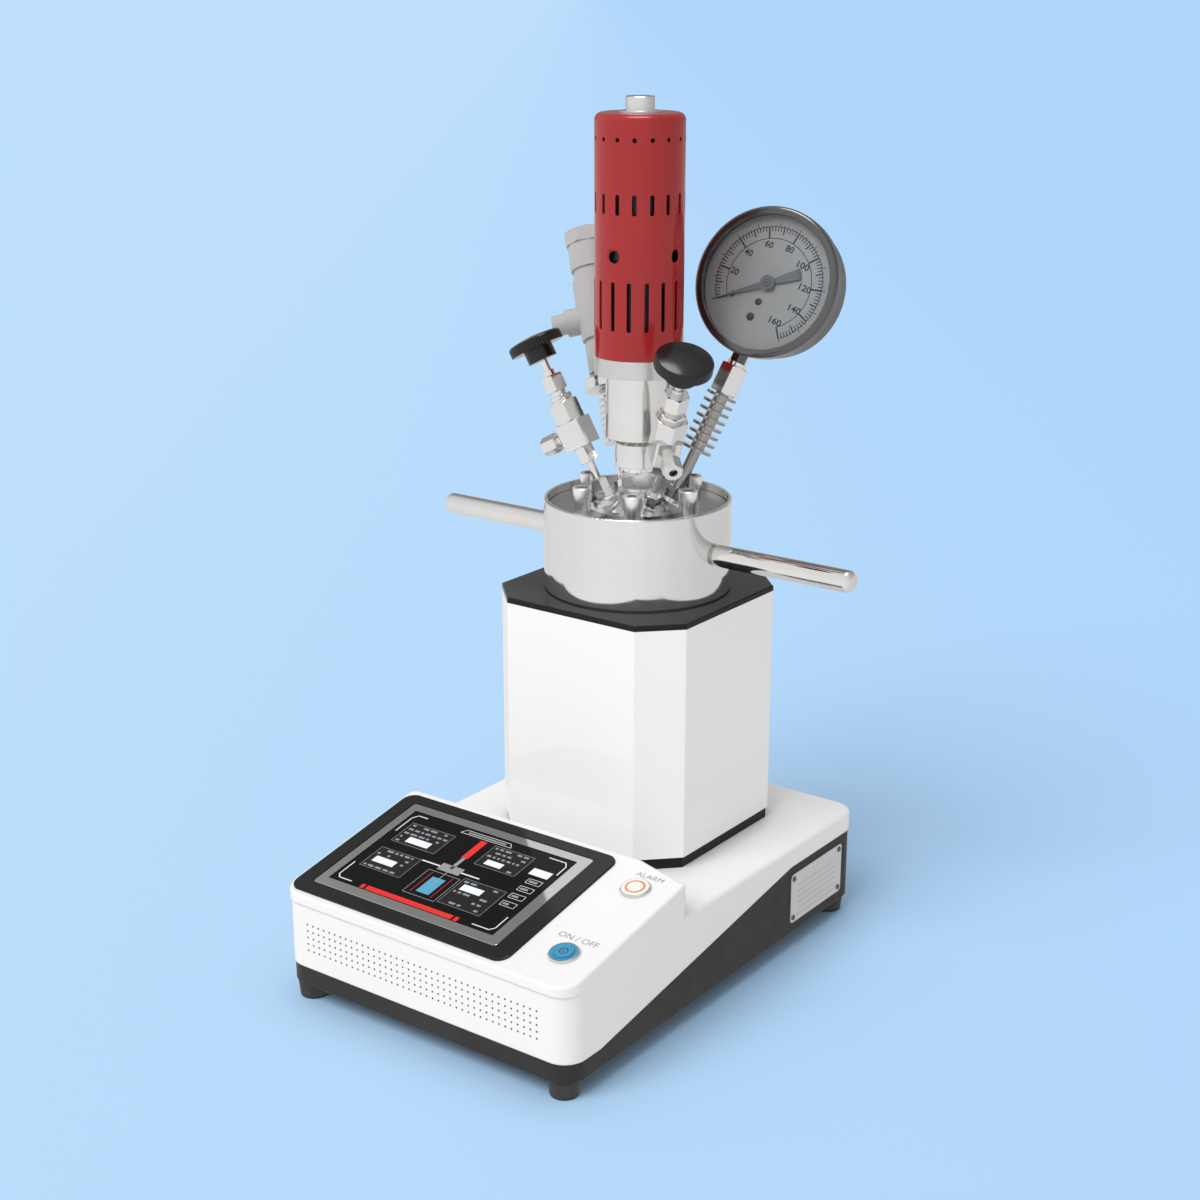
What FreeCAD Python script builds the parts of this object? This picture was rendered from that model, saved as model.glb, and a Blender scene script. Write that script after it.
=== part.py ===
import FreeCAD
import Part
import math
import os

# High pressure reactor: bench base with a touch panel console, eight-sided furnace, clamped vessel with a
# magnetic stirrer drive, two needle valves, a gauge on a finned siphon and a temperature sensor.
# Millimetres. Origin on the table under the centre of the base, X to the right, Y to the back, Z up.

# Fits used all over
RUN_FIT = 0.05        # radial play of a turning or sliding piece in its bore
SPIGOT_FIT = 0.05     # radial play of a screwed or pushed-in spigot
CLEAR = 0.5           # open gap beside a piece that moves or is lifted out

# Base
BASE_W = 270.8
BASE_D = 390.3
BASE_CORNER = 17.5    # plan radius of the four upright corners
FOOT_H = 13.7
FOOT_BOTTOM_R = 10.5
FOOT_TOP_R = 12.0
FOOT_INSET = 15.5     # foot centre from both sides
FOOT_PLUG_R = 4.0
FOOT_PLUG_H = 5.0
SEAM_FRONT_Z = 29.9   # joint between tray and shell at the front
SEAM_BACK_Z = 72.9
SEAM_RISE_Y = -158.4  # where the joint starts to climb
SEAM_KINK_Y = 93.2    # where it is level again
SEAM_STEP = 0.6       # the tray stands this much inside the shell
DECK_Z = 89.4
DECK_ROUND = 3.0
CONSOLE_FRONT_Z = 89.0
CONSOLE_BACK_Y = -56.0
CONSOLE_BACK_Z = 116.0
CONSOLE_ROUND = 2.0   # rounding of the console's outer edge
TRAY_ROUND = 2.0
FOOT_ROUND = 1.5
LIP_H = 7.5           # front lip under the console edge
LIP_OUT = 1.4

# Console panel, measured on the slope: across from the middle, up from the front edge
BEZEL_W = 200.7
BEZEL_L = 128.3
BEZEL_U = -30.4
BEZEL_V = 74.7
BEZEL_R = 10.0
BEZEL_SINK = 2.0
BEZEL_PROUD = 1.6
BEZEL_EDGE = 1.0
FRAME_LEFT = 13.45    # borders of the bezel round the grey frame
FRAME_RIGHT = 11.65
FRAME_NEAR = 10.4
FRAME_FAR = 3.6
FRAME_R = 3.0
FRAME_SINK = 0.4      # frame face below the bezel face
FRAME_T = 2.2
LCD_LEFT = 5.5        # borders of the frame round the glass
LCD_RIGHT = 8.1
LCD_NEAR = 7.35
LCD_FAR = 5.55
LCD_T = 1.6
LCD_SINK = 0.3        # glass face below the frame face
BUTTON_U = 106.4
POWER_V = 34.1
ALARM_V = 120.2
BUTTON_RING_R = 11.5
BUTTON_RING_T = 2.2
BUTTON_RING_EDGE = 0.8
BUTTON_BORE_R = 7.6
BUTTON_BARREL_R = 9.5
BUTTON_DEPTH = 14.0
CAP_PROUD = 1.2
CAP_TRAVEL = 2.0
CAP_DISH = 0.5
LENS_PROUD = 0.4

# Rating plate on the right side of the tray
PLATE_L = 78.0
PLATE_H = 41.8
PLATE_FROM_BACK = 23.75
PLATE_Z0 = 23.6
PLATE_R = 3.5
PLATE_T = 0.8

# Furnace, standing on the deck
FURNACE_Y = 72.75
FURNACE_HALF_X = 87.5
FURNACE_HALF_Y = 88.0
FURNACE_CUT = 27.8    # cut of the eight-sided plan at each corner
PLINTH_IN = 1.5       # plinth stands in from the jacket
JACKET_Z0 = 98.3
JACKET_Z1 = 281.3
JACKET_T = 2.0
JACKET_BEND = 1.6     # outside radius of the folded corners
COVER_PLATE_Z = 285.6
COVER_PLATE_EDGE = 0.8
HEATER_R = 62.0
HEATER_Z0 = 112.0
HEATER_FLOOR = 14.0

# Vessel
CUP_R = 43.5
CUP_BORE = 32.0
CUP_FLOOR_Z = 142.0
CUP_BOTTOM_Z = 130.0
CUP_EDGE = 4.0
CUP_FLANGE_R = 57.5
FLANGE_Z0 = 303.0
FLANGE_Z1 = 315.0
SEAL_T = 1.0
SEAL_R0 = 33.5
SEAL_R1 = 40.0
SEAL_GROOVE = 0.8
LID_EDGE_Z = 330.0
LID_NECK_R = 37.5
LID_NECK_Z = 349.0
LID_CONE_R0 = 31.0
LID_CONE_R1 = 15.5
LID_CONE_Z0 = 350.0
LID_CONE_Z1 = 358.0
LID_BOSS_Z = 362.5
RING_TOP_Z = 350.0
RING_LIP_R = 38.5
RING_FOOT_IN = 1.2    # the ring's foot stands this much inside the band's face
RING_FOOT_T = 0.9
RING_HOLE_R = 44.5
RING_SPLIT = 1.0      # gap between the two half rings
BAND_R = 72.8
BAND_T = 3.0
BAND_TOP_Z = 356.4
BAND_EDGE = 1.2
BOLT_CIRCLE = 46.5
BOLT_N = 6
BOLT_R = 5.0
BOLT_HEAD_R = 7.5
BOLT_HEAD_Z0 = 358.5
BOLT_HEAD_Z1 = 368.5
BOLT_COLLAR_R = 6.6
BOLT_SOCKET_AF = 8.0
BOLT_SOCKET_DEPTH = 5.0
BAR_Z = 321.7
BAR_R = 8.5
BAR_TIP_X = 192.6
BAR_ROUND = 6.0
BAR_NECK_R = 6.8
BAR_NECK_L = 2.2
BAR_STUD_R = 5.0
BAR_STUD_X = 60.0

# Magnetic drive on the furnace axis
SHAFT_R = 4.0
NECK_SLOT_R = 9.0
NECK_SLOT_Z = 364.5
NECK_HEX_AF = 24.0
NECK_HEX_Z = 377.3
NECK_SPIGOT_R = 9.0
NECK_SPIGOT_Z = 350.0
LOWER_TIER_R = 18.0
LOWER_TIER_Z0 = 381.8
LOWER_TIER_Z1 = 399.6
UPPER_TIER_R = 25.0
UPPER_TIER_Z0 = 404.3
DRIVE_WALL = 3.0
CAN_R = 11.0
CAN_WALL = 1.2
CAN_Z1 = 438.0
INNER_ROTOR_R = 9.0
INNER_ROTOR_Z0 = 405.0
INNER_ROTOR_Z1 = 432.0
OUTER_ROTOR_R = 20.0
OUTER_ROTOR_BORE = 12.8
OUTER_ROTOR_Z0 = 408.0
OUTER_ROTOR_Z1 = 447.0
OUTER_ROTOR_TOP_T = 6.0
MOTOR_SHAFT_R = 4.0
MOTOR_SHAFT_Z1 = 475.0
FLANGE_R = 33.5
FLANGE_RING_Z0 = 453.1
FLANGE_RING_Z1 = 466.9
COVER_R = 33.6
COVER_WALL = 1.5
COVER_Z1 = 645.0
COVER_ROUND = 5.5
MOTOR_R = 28.5
MOTOR_Z1 = 606.0
MOTOR_CAP_R = 24.0
MOTOR_CAP_Z1 = 630.0
STUB_R = 10.7
STUB_Z1 = 656.5
WASHER_R = 15.5
WASHER_T = 1.2
COLUMNS = 16          # columns of holes and slots round the cover
SLOT_W = 3.4
HOLE_Z = 627.1
SHORT_SLOT_Z0 = 573.5
SHORT_SLOT_Z1 = 588.6
LONG_SLOT_Z0 = 488.7
LONG_SLOT_Z1 = 525.2
HOLE_SHIFT = 6.3      # turn of the holes and short slots against the long ones
DIMPLE_Z = 543.2
DIMPLE_N = 4
DIMPLE_R = 6.5
DIMPLE_HOLE_R = 4.5
IMPELLER_Z = 160.0
IMPELLER_HUB_R = 7.0
IMPELLER_R = 24.0
BLADE_H = 14.0
BLADE_T = 2.0
BLADES = 4

# Ports in the lid: heading from X, lean from upright, distance from the axis at PORT_Z
PORT_Z = 340.0
LEFT_HEADING = 189.3
LEFT_LEAN = 28.2
LEFT_OUT = 20.5
RIGHT_HEADING = -33.9
RIGHT_LEAN = 27.3
RIGHT_OUT = 21.0
GAUGE_HEADING = 51.3
GAUGE_LEAN = 25.7
GAUGE_OUT = 22.3
SENSOR_HEADING = 144.7
SENSOR_LEAN = 27.3
SENSOR_OUT = 21.0
PORT_BOSS_R = 10.0
PORT_SEAT = 14.5      # seat of every port, along its own axis
PORT_ROOT = 2.0
PORT_BORE_R = 4.5
PORT_BORE_L = 7.0

# Needle valves, along the port axis
TAIL_GLAND_AF = 14.0
TAIL_GLAND_TOP = 20.0
TAIL_NUT_AF = 12.0
TAIL_NUT_TOP = 30.5
TAIL_TUBE_R = 3.0
VALVE_NUT_AF = 14.0
VALVE_NUT_L = 13.0
LEFT_VALVE_SEAT = 57.5      # block underside
RIGHT_VALVE_SEAT = 66.0
RIGHT_VALVE_TURN = -8.0     # the right valve sits turned on its own axis
BLOCK_L = 21.5
BLOCK_HALF_X = 11.8
BLOCK_HALF_Y = 10.0
BLOCK_CUT = 1.6
BLOCK_SPIGOT_R = 4.5
BLOCK_SPIGOT_L = 5.0
OUTLET_UP = 11.5      # outlet axis above the block underside
OUTLET_NECK_R = 4.2
OUTLET_NECK_END = 18.3
OUTLET_END = 31.5
OUTLET_AF = 13.5
OUTLET_BORE_R = 3.2   # tube end in the outlet nut
PASSAGE_R = 2.2
BONNET_AF = 22.5
BONNET_L = 16.5
BONNET_COLLAR_R = 8.6
BONNET_COLLAR_L = 2.0
LOCK_AF = 18.0
LOCK_L = 3.0
PACKING_NECK_R = 6.2
PACKING_NECK_L = 4.0
PACKING_AF = 17.0
PACKING_L = 13.0
PACKING_RING_R = 4.6
PACKING_RING_L = 4.5
STEM_R = 3.0
STEM_TIP_L = 5.0
STEM_START = 12.0     # tip of the stem above the block underside
KNOB_HUB_R = 11.7
KNOB_UP = 73.5        # underside of the knob hub above the block underside
KNOB_HUB_L = 10.0
KNOB_R = 21.6
KNOB_RIM_L = 10.5
KNOB_DOME = 2.8
KNOB_EDGE = 2.4
KNOB_BORE_L = 14.0
KNOB_RIBS = 54
KNOB_RIB_L = 6.2      # grooves between the ribs, up from the underside of the rim
KNOB_GROOVE_R = 0.8
KNOB_GROOVE_T = 0.5

# Gauge and finned siphon
SIPHON_R = 4.5
SIPHON_NUT_AF = 15.0
SIPHON_NUT_L = 9.0
FIN_FIRST = 55.5
FIN_PITCH = 6.4
FIN_N = 8
FIN_R = 12.2
FIN_T = 2.2
FIN_CORE_R = 5.6
SIPHON_TOP = 104.0
COUPLING_AF = 19.5
COUPLING_HEX_TOP = 127.0
COUPLING_COLLAR_R = 7.5
COUPLING_TOP = 130.0
GAUGE_AT = 193.5
GAUGE_TURN = -134.9   # way the face looks, about the siphon axis
GAUGE_R = 54.0
GAUGE_BACK = -15.0
GAUGE_FRONT = 12.0
GAUGE_WALL = 2.0
GAUGE_FLOOR = 4.0
GAUGE_ROUND = 4.0
SOCKET_AF = 11.5
BEZEL_RING_R = 57.5
BEZEL_RING_BORE = 51.5
BEZEL_SKIRT = 3.6       # the bezel ring laps this far back over the case
BEZEL_RING_Z1 = 19.0
BEZEL_RING_ROUND = 3.0
DIAL_T = 1.0
DIAL_FACE = 10.0
WINDOW_Z0 = 15.0
WINDOW_T = 2.0
POINTER_Z = 11.4
POINTER_T = 0.8
POINTER_START = 225.0   # zero of a full scale, lower left
POINTER_TURN = 7.4    # dial and pointer sit turned in the case
POINTER_TIP = 46.0
POINTER_TIP_HALF = 0.2
POINTER_BLADE = 38.0    # end of the broad blade, beyond it only a thin tip
POINTER_BLADE_HALF = 0.45
POINTER_ROOT_HALF = 2.8
POINTER_WAIST = 4.0
POINTER_WAIST_HALF = 2.0
POINTER_TAIL = 26.3
POINTER_TAIL_HALF = 4.2
POINTER_HUB_R = 5.8
POINTER_HUB_Z1 = 13.8
POINTER_PIN_R = 1.5

# Temperature sensor
WELL_AF = 15.0
WELL_NUT_L = 9.5
WELL_TUBE_R = 5.0
WELL_FIN_FIRST = 55.0
WELL_FIN_PITCH = 5.0
WELL_FIN_N = 8
WELL_FIN_R = 11.2
WELL_FIN_T = 2.4
WELL_CORE_R = 7.5
WELL_FLANGE_R = 19.8
WELL_FLANGE_Z0 = 98.5
WELL_FLANGE_Z1 = 106.5
WELL_TOP = 112.0
WELL_TOP_R = 13.5
HEAD_NECK_R = 15.2
HEAD_NECK_TOP = 136.5
HEAD_GROOVE_R = 14.2
HEAD_GROOVE_TOP = 139.5
HEAD_FOOT_R = 16.5
HEAD_R = 18.0
HEAD_TOP = 188.0
HEAD_THROAT_R = 16.0
HEAD_THROAT_TOP = 197.0
HEAD_BAND_R = 17.6
HEAD_BAND_TOP = 217.5
CAP_AF = 36.0
CAP_TOP = 235.0
CAP_EDGE = 1.5
CAP_CORNERS = 8
ENTRY_UP = 158.0      # cable entry boss on the side of the head
ENTRY_TURN = 60.0
ENTRY_R = 11.0
ENTRY_END = 27.0
CABLE_NUT_R = 8.5
CABLE_NUT_END = 38.0
CABLE_BORE_R = 3.5


def V(x, y, z):
    return FreeCAD.Vector(x, y, z)


def cylinder(r, z0, z1, x=0.0, y=0.0):
    return Part.makeCylinder(r, z1 - z0, V(x, y, z0))


def turned(points):
    """Solid turned about Z from (radius, height) points."""
    wire = Part.makePolygon([V(r, 0, z) for r, z in points + points[:1]])
    return Part.Face(wire).revolve(V(0, 0, 0), V(0, 0, 1), 360)


def prism(points, z0, z1):
    wire = Part.makePolygon([V(x, y, z0) for x, y in points + points[:1]])
    return Part.Face(wire).extrude(V(0, 0, z1 - z0))


def polygon(across, sides, z0, z1):
    """Bar of regular section, given across its flats, with its corners turned off at both ends."""
    corner = across / 2 / math.cos(math.pi / sides)
    step = 2 * math.pi / sides
    pts = [(corner * math.cos(i * step), corner * math.sin(i * step)) for i in range(sides)]
    bar = prism(pts, z0, z1)
    inner = across / 2
    bevel = (corner - inner) * math.tan(math.radians(30))
    cut = turned([(0, z0), (inner, z0), (corner, z0 + bevel), (corner, z1 - bevel), (inner, z1), (0, z1)])
    return bar.common(cut)


def hexagon(across, z0, z1):
    return polygon(across, 6, z0, z1)


def rounded_plate(w, d, r, z0, z1, x=0.0, y=0.0):
    """Plate with upright corners rounded."""
    box = Part.makeBox(w, d, z1 - z0, V(x - w / 2, y - d / 2, z0))
    return box.makeFillet(r, upright_edges(box))


def circles_at(shape, z, r):
    """Round edges of a turned shape at height z with radius r."""
    found = []
    for e in shape.Edges:
        if e.Degenerated or not hasattr(e.Curve, "Radius"):
            continue
        if abs(e.Curve.Radius - r) < 0.01 and abs(e.Curve.Center.z - z) < 0.01:
            found.append(e)
    return found


def edges_in(shape, z0, z1):
    """Edges that lie wholly between two heights."""
    return [e for e in shape.Edges if e.BoundBox.ZMin > z0 - 0.01 and e.BoundBox.ZMax < z1 + 0.01]


def upright_edges(shape):
    return [e for e in shape.Edges if e.BoundBox.ZLength > e.BoundBox.DiagonalLength - 0.01]


def moved(shape, placement):
    out = shape.copy()
    out.Placement = placement.multiply(out.Placement)
    return out


def turn(axis, degrees, at=(0, 0, 0)):
    return FreeCAD.Placement(V(*at), FreeCAD.Rotation(V(*axis), degrees))


def port_frame(heading, lean, out):
    """Frame of a lid port: Z out along its axis, X out and down, Y round the lid."""
    a = math.radians(heading)
    base = V(out * math.cos(a), FURNACE_Y + out * math.sin(a), PORT_Z)
    rot = FreeCAD.Rotation(V(0, 0, 1), heading).multiply(FreeCAD.Rotation(V(0, 1, 0), lean))
    return FreeCAD.Placement(base, rot)


os.makedirs("parts", exist_ok=True)


def export(name, shape):
    shape.exportStep("parts/" + name + ".step")


ON_AXIS = FreeCAD.Placement(V(0, FURNACE_Y, 0), FreeCAD.Rotation())
LEFT_PORT = port_frame(LEFT_HEADING, LEFT_LEAN, LEFT_OUT)
RIGHT_PORT = port_frame(RIGHT_HEADING, RIGHT_LEAN, RIGHT_OUT)
GAUGE_PORT = port_frame(GAUGE_HEADING, GAUGE_LEAN, GAUGE_OUT)
SENSOR_PORT = port_frame(SENSOR_HEADING, SENSOR_LEAN, SENSOR_OUT)
HALF_W = BASE_W / 2
HALF_D = BASE_D / 2

# Base shell and tray: two mouldings meeting on a joint that climbs along both sides.
lip_y = -HALF_D
front_y = lip_y + LIP_OUT
slope = math.atan2(CONSOLE_BACK_Z - CONSOLE_FRONT_Z, CONSOLE_BACK_Y - lip_y)
slope_deg = math.degrees(slope)
console = FreeCAD.Placement(V(0, lip_y, CONSOLE_FRONT_Z), FreeCAD.Rotation(V(1, 0, 0), slope_deg))


def side_solid(points):
    """Solid of one side outline (Y, Z) drawn across the full width."""
    wire = Part.makePolygon([V(-HALF_W, y, z) for y, z in points + points[:1]])
    return Part.Face(wire).extrude(V(BASE_W, 0, 0))


shell_side = side_solid([
    (lip_y, SEAM_FRONT_Z), (SEAM_RISE_Y, SEAM_FRONT_Z), (SEAM_KINK_Y, SEAM_BACK_Z), (HALF_D, SEAM_BACK_Z),
    (HALF_D, DECK_Z), (CONSOLE_BACK_Y, DECK_Z), (CONSOLE_BACK_Y, CONSOLE_BACK_Z), (lip_y, CONSOLE_FRONT_Z),
])
plan = rounded_plate(BASE_W, BASE_D, BASE_CORNER, 0, CONSOLE_BACK_Z)
shell = shell_side.common(plan)
lip_z = CONSOLE_FRONT_Z - LIP_H
front_plan = rounded_plate(BASE_W, BASE_D, BASE_CORNER, 0, lip_z)
front_strip = Part.makeBox(BASE_W, BASE_CORNER, lip_z, V(-HALF_W, lip_y, 0))
set_back = front_plan.copy()
set_back.translate(V(0, LIP_OUT, 0))
shell = shell.cut(front_strip.cut(set_back))


def top_edges(shape):
    """Outer edges of the deck."""
    rows = []
    for e in shape.Edges:
        b = e.BoundBox
        on_deck = b.ZMin > DECK_Z - 0.1 and b.ZMax < DECK_Z + 0.1
        outline = max(abs(b.XMin), abs(b.XMax)) > HALF_W - BASE_CORNER - 1 or b.YMin > HALF_D - 1
        if on_deck and outline and b.YMax > CONSOLE_BACK_Y + 1:
            rows.append(e)
    return rows


def console_edges(shape):
    """Front and side edges of the sloping console."""
    rows = []
    back = console.inverse()
    for e in shape.Edges:
        heights = [back.multVec(e.valueAt(t)).z for t in (e.FirstParameter, e.LastParameter)]
        on_slope = max(abs(h) for h in heights) < 0.01
        if on_slope and e.BoundBox.YMin < CONSOLE_BACK_Y - 1:
            rows.append(e)
    return rows


shell = shell.makeFillet(DECK_ROUND, top_edges(shell))
shell = shell.makeFillet(CONSOLE_ROUND, console_edges(shell))
tray_side = side_solid([
    (lip_y, FOOT_H), (HALF_D, FOOT_H), (HALF_D, SEAM_BACK_Z), (SEAM_KINK_Y, SEAM_BACK_Z),
    (SEAM_RISE_Y, SEAM_FRONT_Z), (lip_y, SEAM_FRONT_Z),
])
tray_w = BASE_W - 2 * SEAM_STEP
tray_d = BASE_D - 2 * SEAM_STEP - LIP_OUT
tray = tray_side.common(rounded_plate(
    tray_w, tray_d, BASE_CORNER - SEAM_STEP, 0, SEAM_BACK_Z, y=LIP_OUT / 2))
tray = tray.makeFillet(TRAY_ROUND, edges_in(tray, FOOT_H, FOOT_H))

# Four tapered feet pushed into the tray.
feet = []
for sx in (-1, 1):
    for sy in (-1, 1):
        fx = sx * (HALF_W - FOOT_INSET)
        fy = sy * (HALF_D - FOOT_INSET)
        cone = Part.makeCone(FOOT_BOTTOM_R, FOOT_TOP_R, FOOT_H, V(fx, fy, 0))
        cone = cone.makeFillet(FOOT_ROUND, circles_at(cone, 0, FOOT_BOTTOM_R))
        plug = cylinder(FOOT_PLUG_R, FOOT_H, FOOT_H + FOOT_PLUG_H, fx, fy)
        feet.append(cone.fuse(plug))
        tray = tray.cut(cylinder(FOOT_PLUG_R + SPIGOT_FIT, FOOT_H, FOOT_H + FOOT_PLUG_H, fx, fy))
export("chassis_tray", tray)
export("feet", Part.makeCompound(feet))

# Touch panel: black bezel let into the slope, grey frame in the bezel, glass in the frame.
bezel_block = rounded_plate(BEZEL_W, BEZEL_L, BEZEL_R, -BEZEL_SINK, BEZEL_PROUD, BEZEL_U, BEZEL_V)
bezel_rim = [e for e in bezel_block.Edges if e.BoundBox.ZMin > BEZEL_PROUD - 0.01]
bezel_plate = bezel_block.makeChamfer(BEZEL_EDGE, bezel_rim)
frame_face = BEZEL_PROUD - FRAME_SINK
frame_w = BEZEL_W - FRAME_LEFT - FRAME_RIGHT
frame_l = BEZEL_L - FRAME_NEAR - FRAME_FAR
frame_u = BEZEL_U + (FRAME_LEFT - FRAME_RIGHT) / 2
frame_v = BEZEL_V + (FRAME_NEAR - FRAME_FAR) / 2
frame_block = rounded_plate(frame_w, frame_l, FRAME_R, frame_face - FRAME_T, frame_face, frame_u, frame_v)
frame_pocket = rounded_plate(frame_w, frame_l, FRAME_R, frame_face - FRAME_T, BEZEL_PROUD, frame_u, frame_v)
lcd_face = frame_face - LCD_SINK
lcd_w = frame_w - LCD_LEFT - LCD_RIGHT
lcd_l = frame_l - LCD_NEAR - LCD_FAR
lcd_corner = V(frame_u - frame_w / 2 + LCD_LEFT, frame_v - frame_l / 2 + LCD_NEAR, lcd_face - LCD_T)
glass = Part.makeBox(lcd_w, lcd_l, LCD_T, lcd_corner)
glass_pocket = Part.makeBox(lcd_w, lcd_l, LCD_T + LCD_SINK, lcd_corner)
export("panel_bezel", moved(bezel_plate.cut(frame_pocket), console))
export("panel_frame", moved(frame_block.cut(glass_pocket), console))
export("screen_glass", moved(glass, console))
shell = shell.cut(moved(rounded_plate(
    BEZEL_W, BEZEL_L, BEZEL_R, -BEZEL_SINK, CONSOLE_BACK_Z, BEZEL_U, BEZEL_V), console))


# Push button and alarm lamp: turned barrels with a broad flange, set in the shell.
def barrel(v, floor):
    ring = turned([
        (BUTTON_BORE_R, 0), (BUTTON_RING_R, 0), (BUTTON_RING_R, BUTTON_RING_T - BUTTON_RING_EDGE),
        (BUTTON_RING_R - BUTTON_RING_EDGE, BUTTON_RING_T), (BUTTON_BORE_R, BUTTON_RING_T),
    ])
    tube = cylinder(BUTTON_BARREL_R, -BUTTON_DEPTH, 0).cut(cylinder(BUTTON_BORE_R, -BUTTON_DEPTH + floor, 0))
    spot = turn((0, 0, 1), 0, (BUTTON_U, v, 0))
    return moved(ring.fuse(tube).removeSplitter(), console.multiply(spot))


for v in (POWER_V, ALARM_V):
    spot = turn((0, 0, 1), 0, (BUTTON_U, v, 0))
    hole = cylinder(BUTTON_BARREL_R + SPIGOT_FIT, -BUTTON_DEPTH, BUTTON_DEPTH)
    shell = shell.cut(moved(hole, console.multiply(spot)))
barrel_floor = BUTTON_DEPTH / 2
export("power_button_ring", barrel(POWER_V, barrel_floor))
export("alarm_lamp_ring", barrel(ALARM_V, barrel_floor))
cap_z0 = -BUTTON_DEPTH + barrel_floor + CAP_TRAVEL + CLEAR
cap_face = BUTTON_RING_T + CAP_PROUD
cap = cylinder(BUTTON_BORE_R - RUN_FIT, cap_z0, cap_face)
dish_r = 4 * BUTTON_BORE_R
dish = Part.makeSphere(dish_r, V(0, 0, cap_face - CAP_DISH + dish_r))
cap = cap.cut(dish)
lens = cylinder(BUTTON_BORE_R, -BUTTON_DEPTH + barrel_floor, BUTTON_RING_T + LENS_PROUD)
export("power_button_cap", moved(cap, console.multiply(turn((0, 0, 1), 0, (BUTTON_U, POWER_V, 0)))))
export("alarm_lamp_lens", moved(lens, console.multiply(turn((0, 0, 1), 0, (BUTTON_U, ALARM_V, 0)))))
export("upper_shell", shell)

# Rating plate, thin sheet flat on the tray side.
plate = rounded_plate(PLATE_H, PLATE_L, PLATE_R, 0, PLATE_T)
plate_y = HALF_D - PLATE_FROM_BACK - PLATE_L / 2
plate_at = FreeCAD.Placement(
    V(tray_w / 2, plate_y, PLATE_Z0 + PLATE_H / 2), FreeCAD.Rotation(V(0, 1, 0), 90))
export("rating_plate", moved(plate, plate_at))


# Furnace: plinth, sheet jacket, insulation, heating block and cover plate, all on the vessel axis.
def octagon(inset, z0, z1):
    hx = FURNACE_HALF_X - inset
    hy = FURNACE_HALF_Y - inset
    c = FURNACE_CUT - inset * (2 - math.sqrt(2))
    pts = [(hx - c, -hy), (hx, -hy + c), (hx, hy - c), (hx - c, hy),
           (-hx + c, hy), (-hx, hy - c), (-hx, -hy + c), (-hx + c, -hy)]
    return prism(pts, z0, z1)


def on_axis(shape):
    return moved(shape, ON_AXIS)


heater_bore = CUP_R + CLEAR
heater_floor_z = HEATER_Z0 + HEATER_FLOOR
heater = cylinder(HEATER_R, HEATER_Z0, JACKET_Z1).cut(cylinder(heater_bore, heater_floor_z, JACKET_Z1))
filling = octagon(JACKET_T, JACKET_Z0, JACKET_Z1).cut(cylinder(HEATER_R, HEATER_Z0, JACKET_Z1))
export("furnace_plinth", on_axis(octagon(PLINTH_IN, DECK_Z, JACKET_Z0)))
jacket = octagon(0, JACKET_Z0, JACKET_Z1)
jacket = jacket.makeFillet(JACKET_BEND, upright_edges(jacket)).cut(octagon(JACKET_T, JACKET_Z0, JACKET_Z1))
export("furnace_jacket", on_axis(jacket))
export("furnace_insulation", on_axis(filling))
export("heating_block", on_axis(heater))
cover_plate = octagon(0, JACKET_Z1, COVER_PLATE_Z)
cover_plate = cover_plate.makeChamfer(COVER_PLATE_EDGE, edges_in(cover_plate, COVER_PLATE_Z, COVER_PLATE_Z))
export("furnace_top_plate", on_axis(cover_plate.cut(cylinder(heater_bore, JACKET_Z1, COVER_PLATE_Z))))

# Vessel cup hung by its flange, with the lid on a flat seal.
cup = turned([
    (0, CUP_BOTTOM_Z), (CUP_R - CUP_EDGE, CUP_BOTTOM_Z), (CUP_R, CUP_BOTTOM_Z + CUP_EDGE), (CUP_R, FLANGE_Z0),
    (CUP_FLANGE_R, FLANGE_Z0), (CUP_FLANGE_R, FLANGE_Z1), (CUP_BORE, FLANGE_Z1), (CUP_BORE, CUP_FLOOR_Z),
    (0, CUP_FLOOR_Z),
])
groove = cylinder(SEAL_R1, FLANGE_Z1 - SEAL_GROOVE, FLANGE_Z1).cut(
    cylinder(SEAL_R0, FLANGE_Z1 - SEAL_GROOVE, FLANGE_Z1))
lid_z = FLANGE_Z1 - SEAL_GROOVE + SEAL_T
seal_z = FLANGE_Z1 - SEAL_GROOVE
seal = cylinder(SEAL_R1, seal_z, lid_z).cut(cylinder(SEAL_R0, seal_z, lid_z))
export("vessel_cup", on_axis(cup.cut(groove)))
export("lid_seal", on_axis(seal))
lid = on_axis(turned([
    (0, lid_z), (CUP_FLANGE_R, lid_z), (CUP_FLANGE_R, LID_EDGE_Z), (LID_NECK_R, LID_EDGE_Z),
    (LID_NECK_R, LID_NECK_Z), (LID_CONE_R0, LID_CONE_Z0), (LID_CONE_R1, LID_CONE_Z1),
    (LID_CONE_R1, LID_BOSS_Z), (0, LID_BOSS_Z),
]))
for port in (LEFT_PORT, RIGHT_PORT, GAUGE_PORT, SENSOR_PORT):
    lid = lid.fuse(moved(cylinder(PORT_BOSS_R, PORT_ROOT, PORT_SEAT), port))
for port in (LEFT_PORT, RIGHT_PORT, GAUGE_PORT, SENSOR_PORT):
    over = cylinder(PORT_BOSS_R, PORT_SEAT, PORT_SEAT + PORT_BOSS_R)
    bore = cylinder(PORT_BORE_R + SPIGOT_FIT, PORT_SEAT - PORT_BORE_L, PORT_SEAT)
    lid = lid.cut(moved(over.fuse(bore), port))
lid = lid.cut(on_axis(cylinder(NECK_SPIGOT_R + SPIGOT_FIT, NECK_SPIGOT_Z, LID_BOSS_Z)))
lid = lid.cut(on_axis(cylinder(SHAFT_R + RUN_FIT, lid_z, NECK_SPIGOT_Z)))
export("vessel_lid", lid.removeSplitter())

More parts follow.
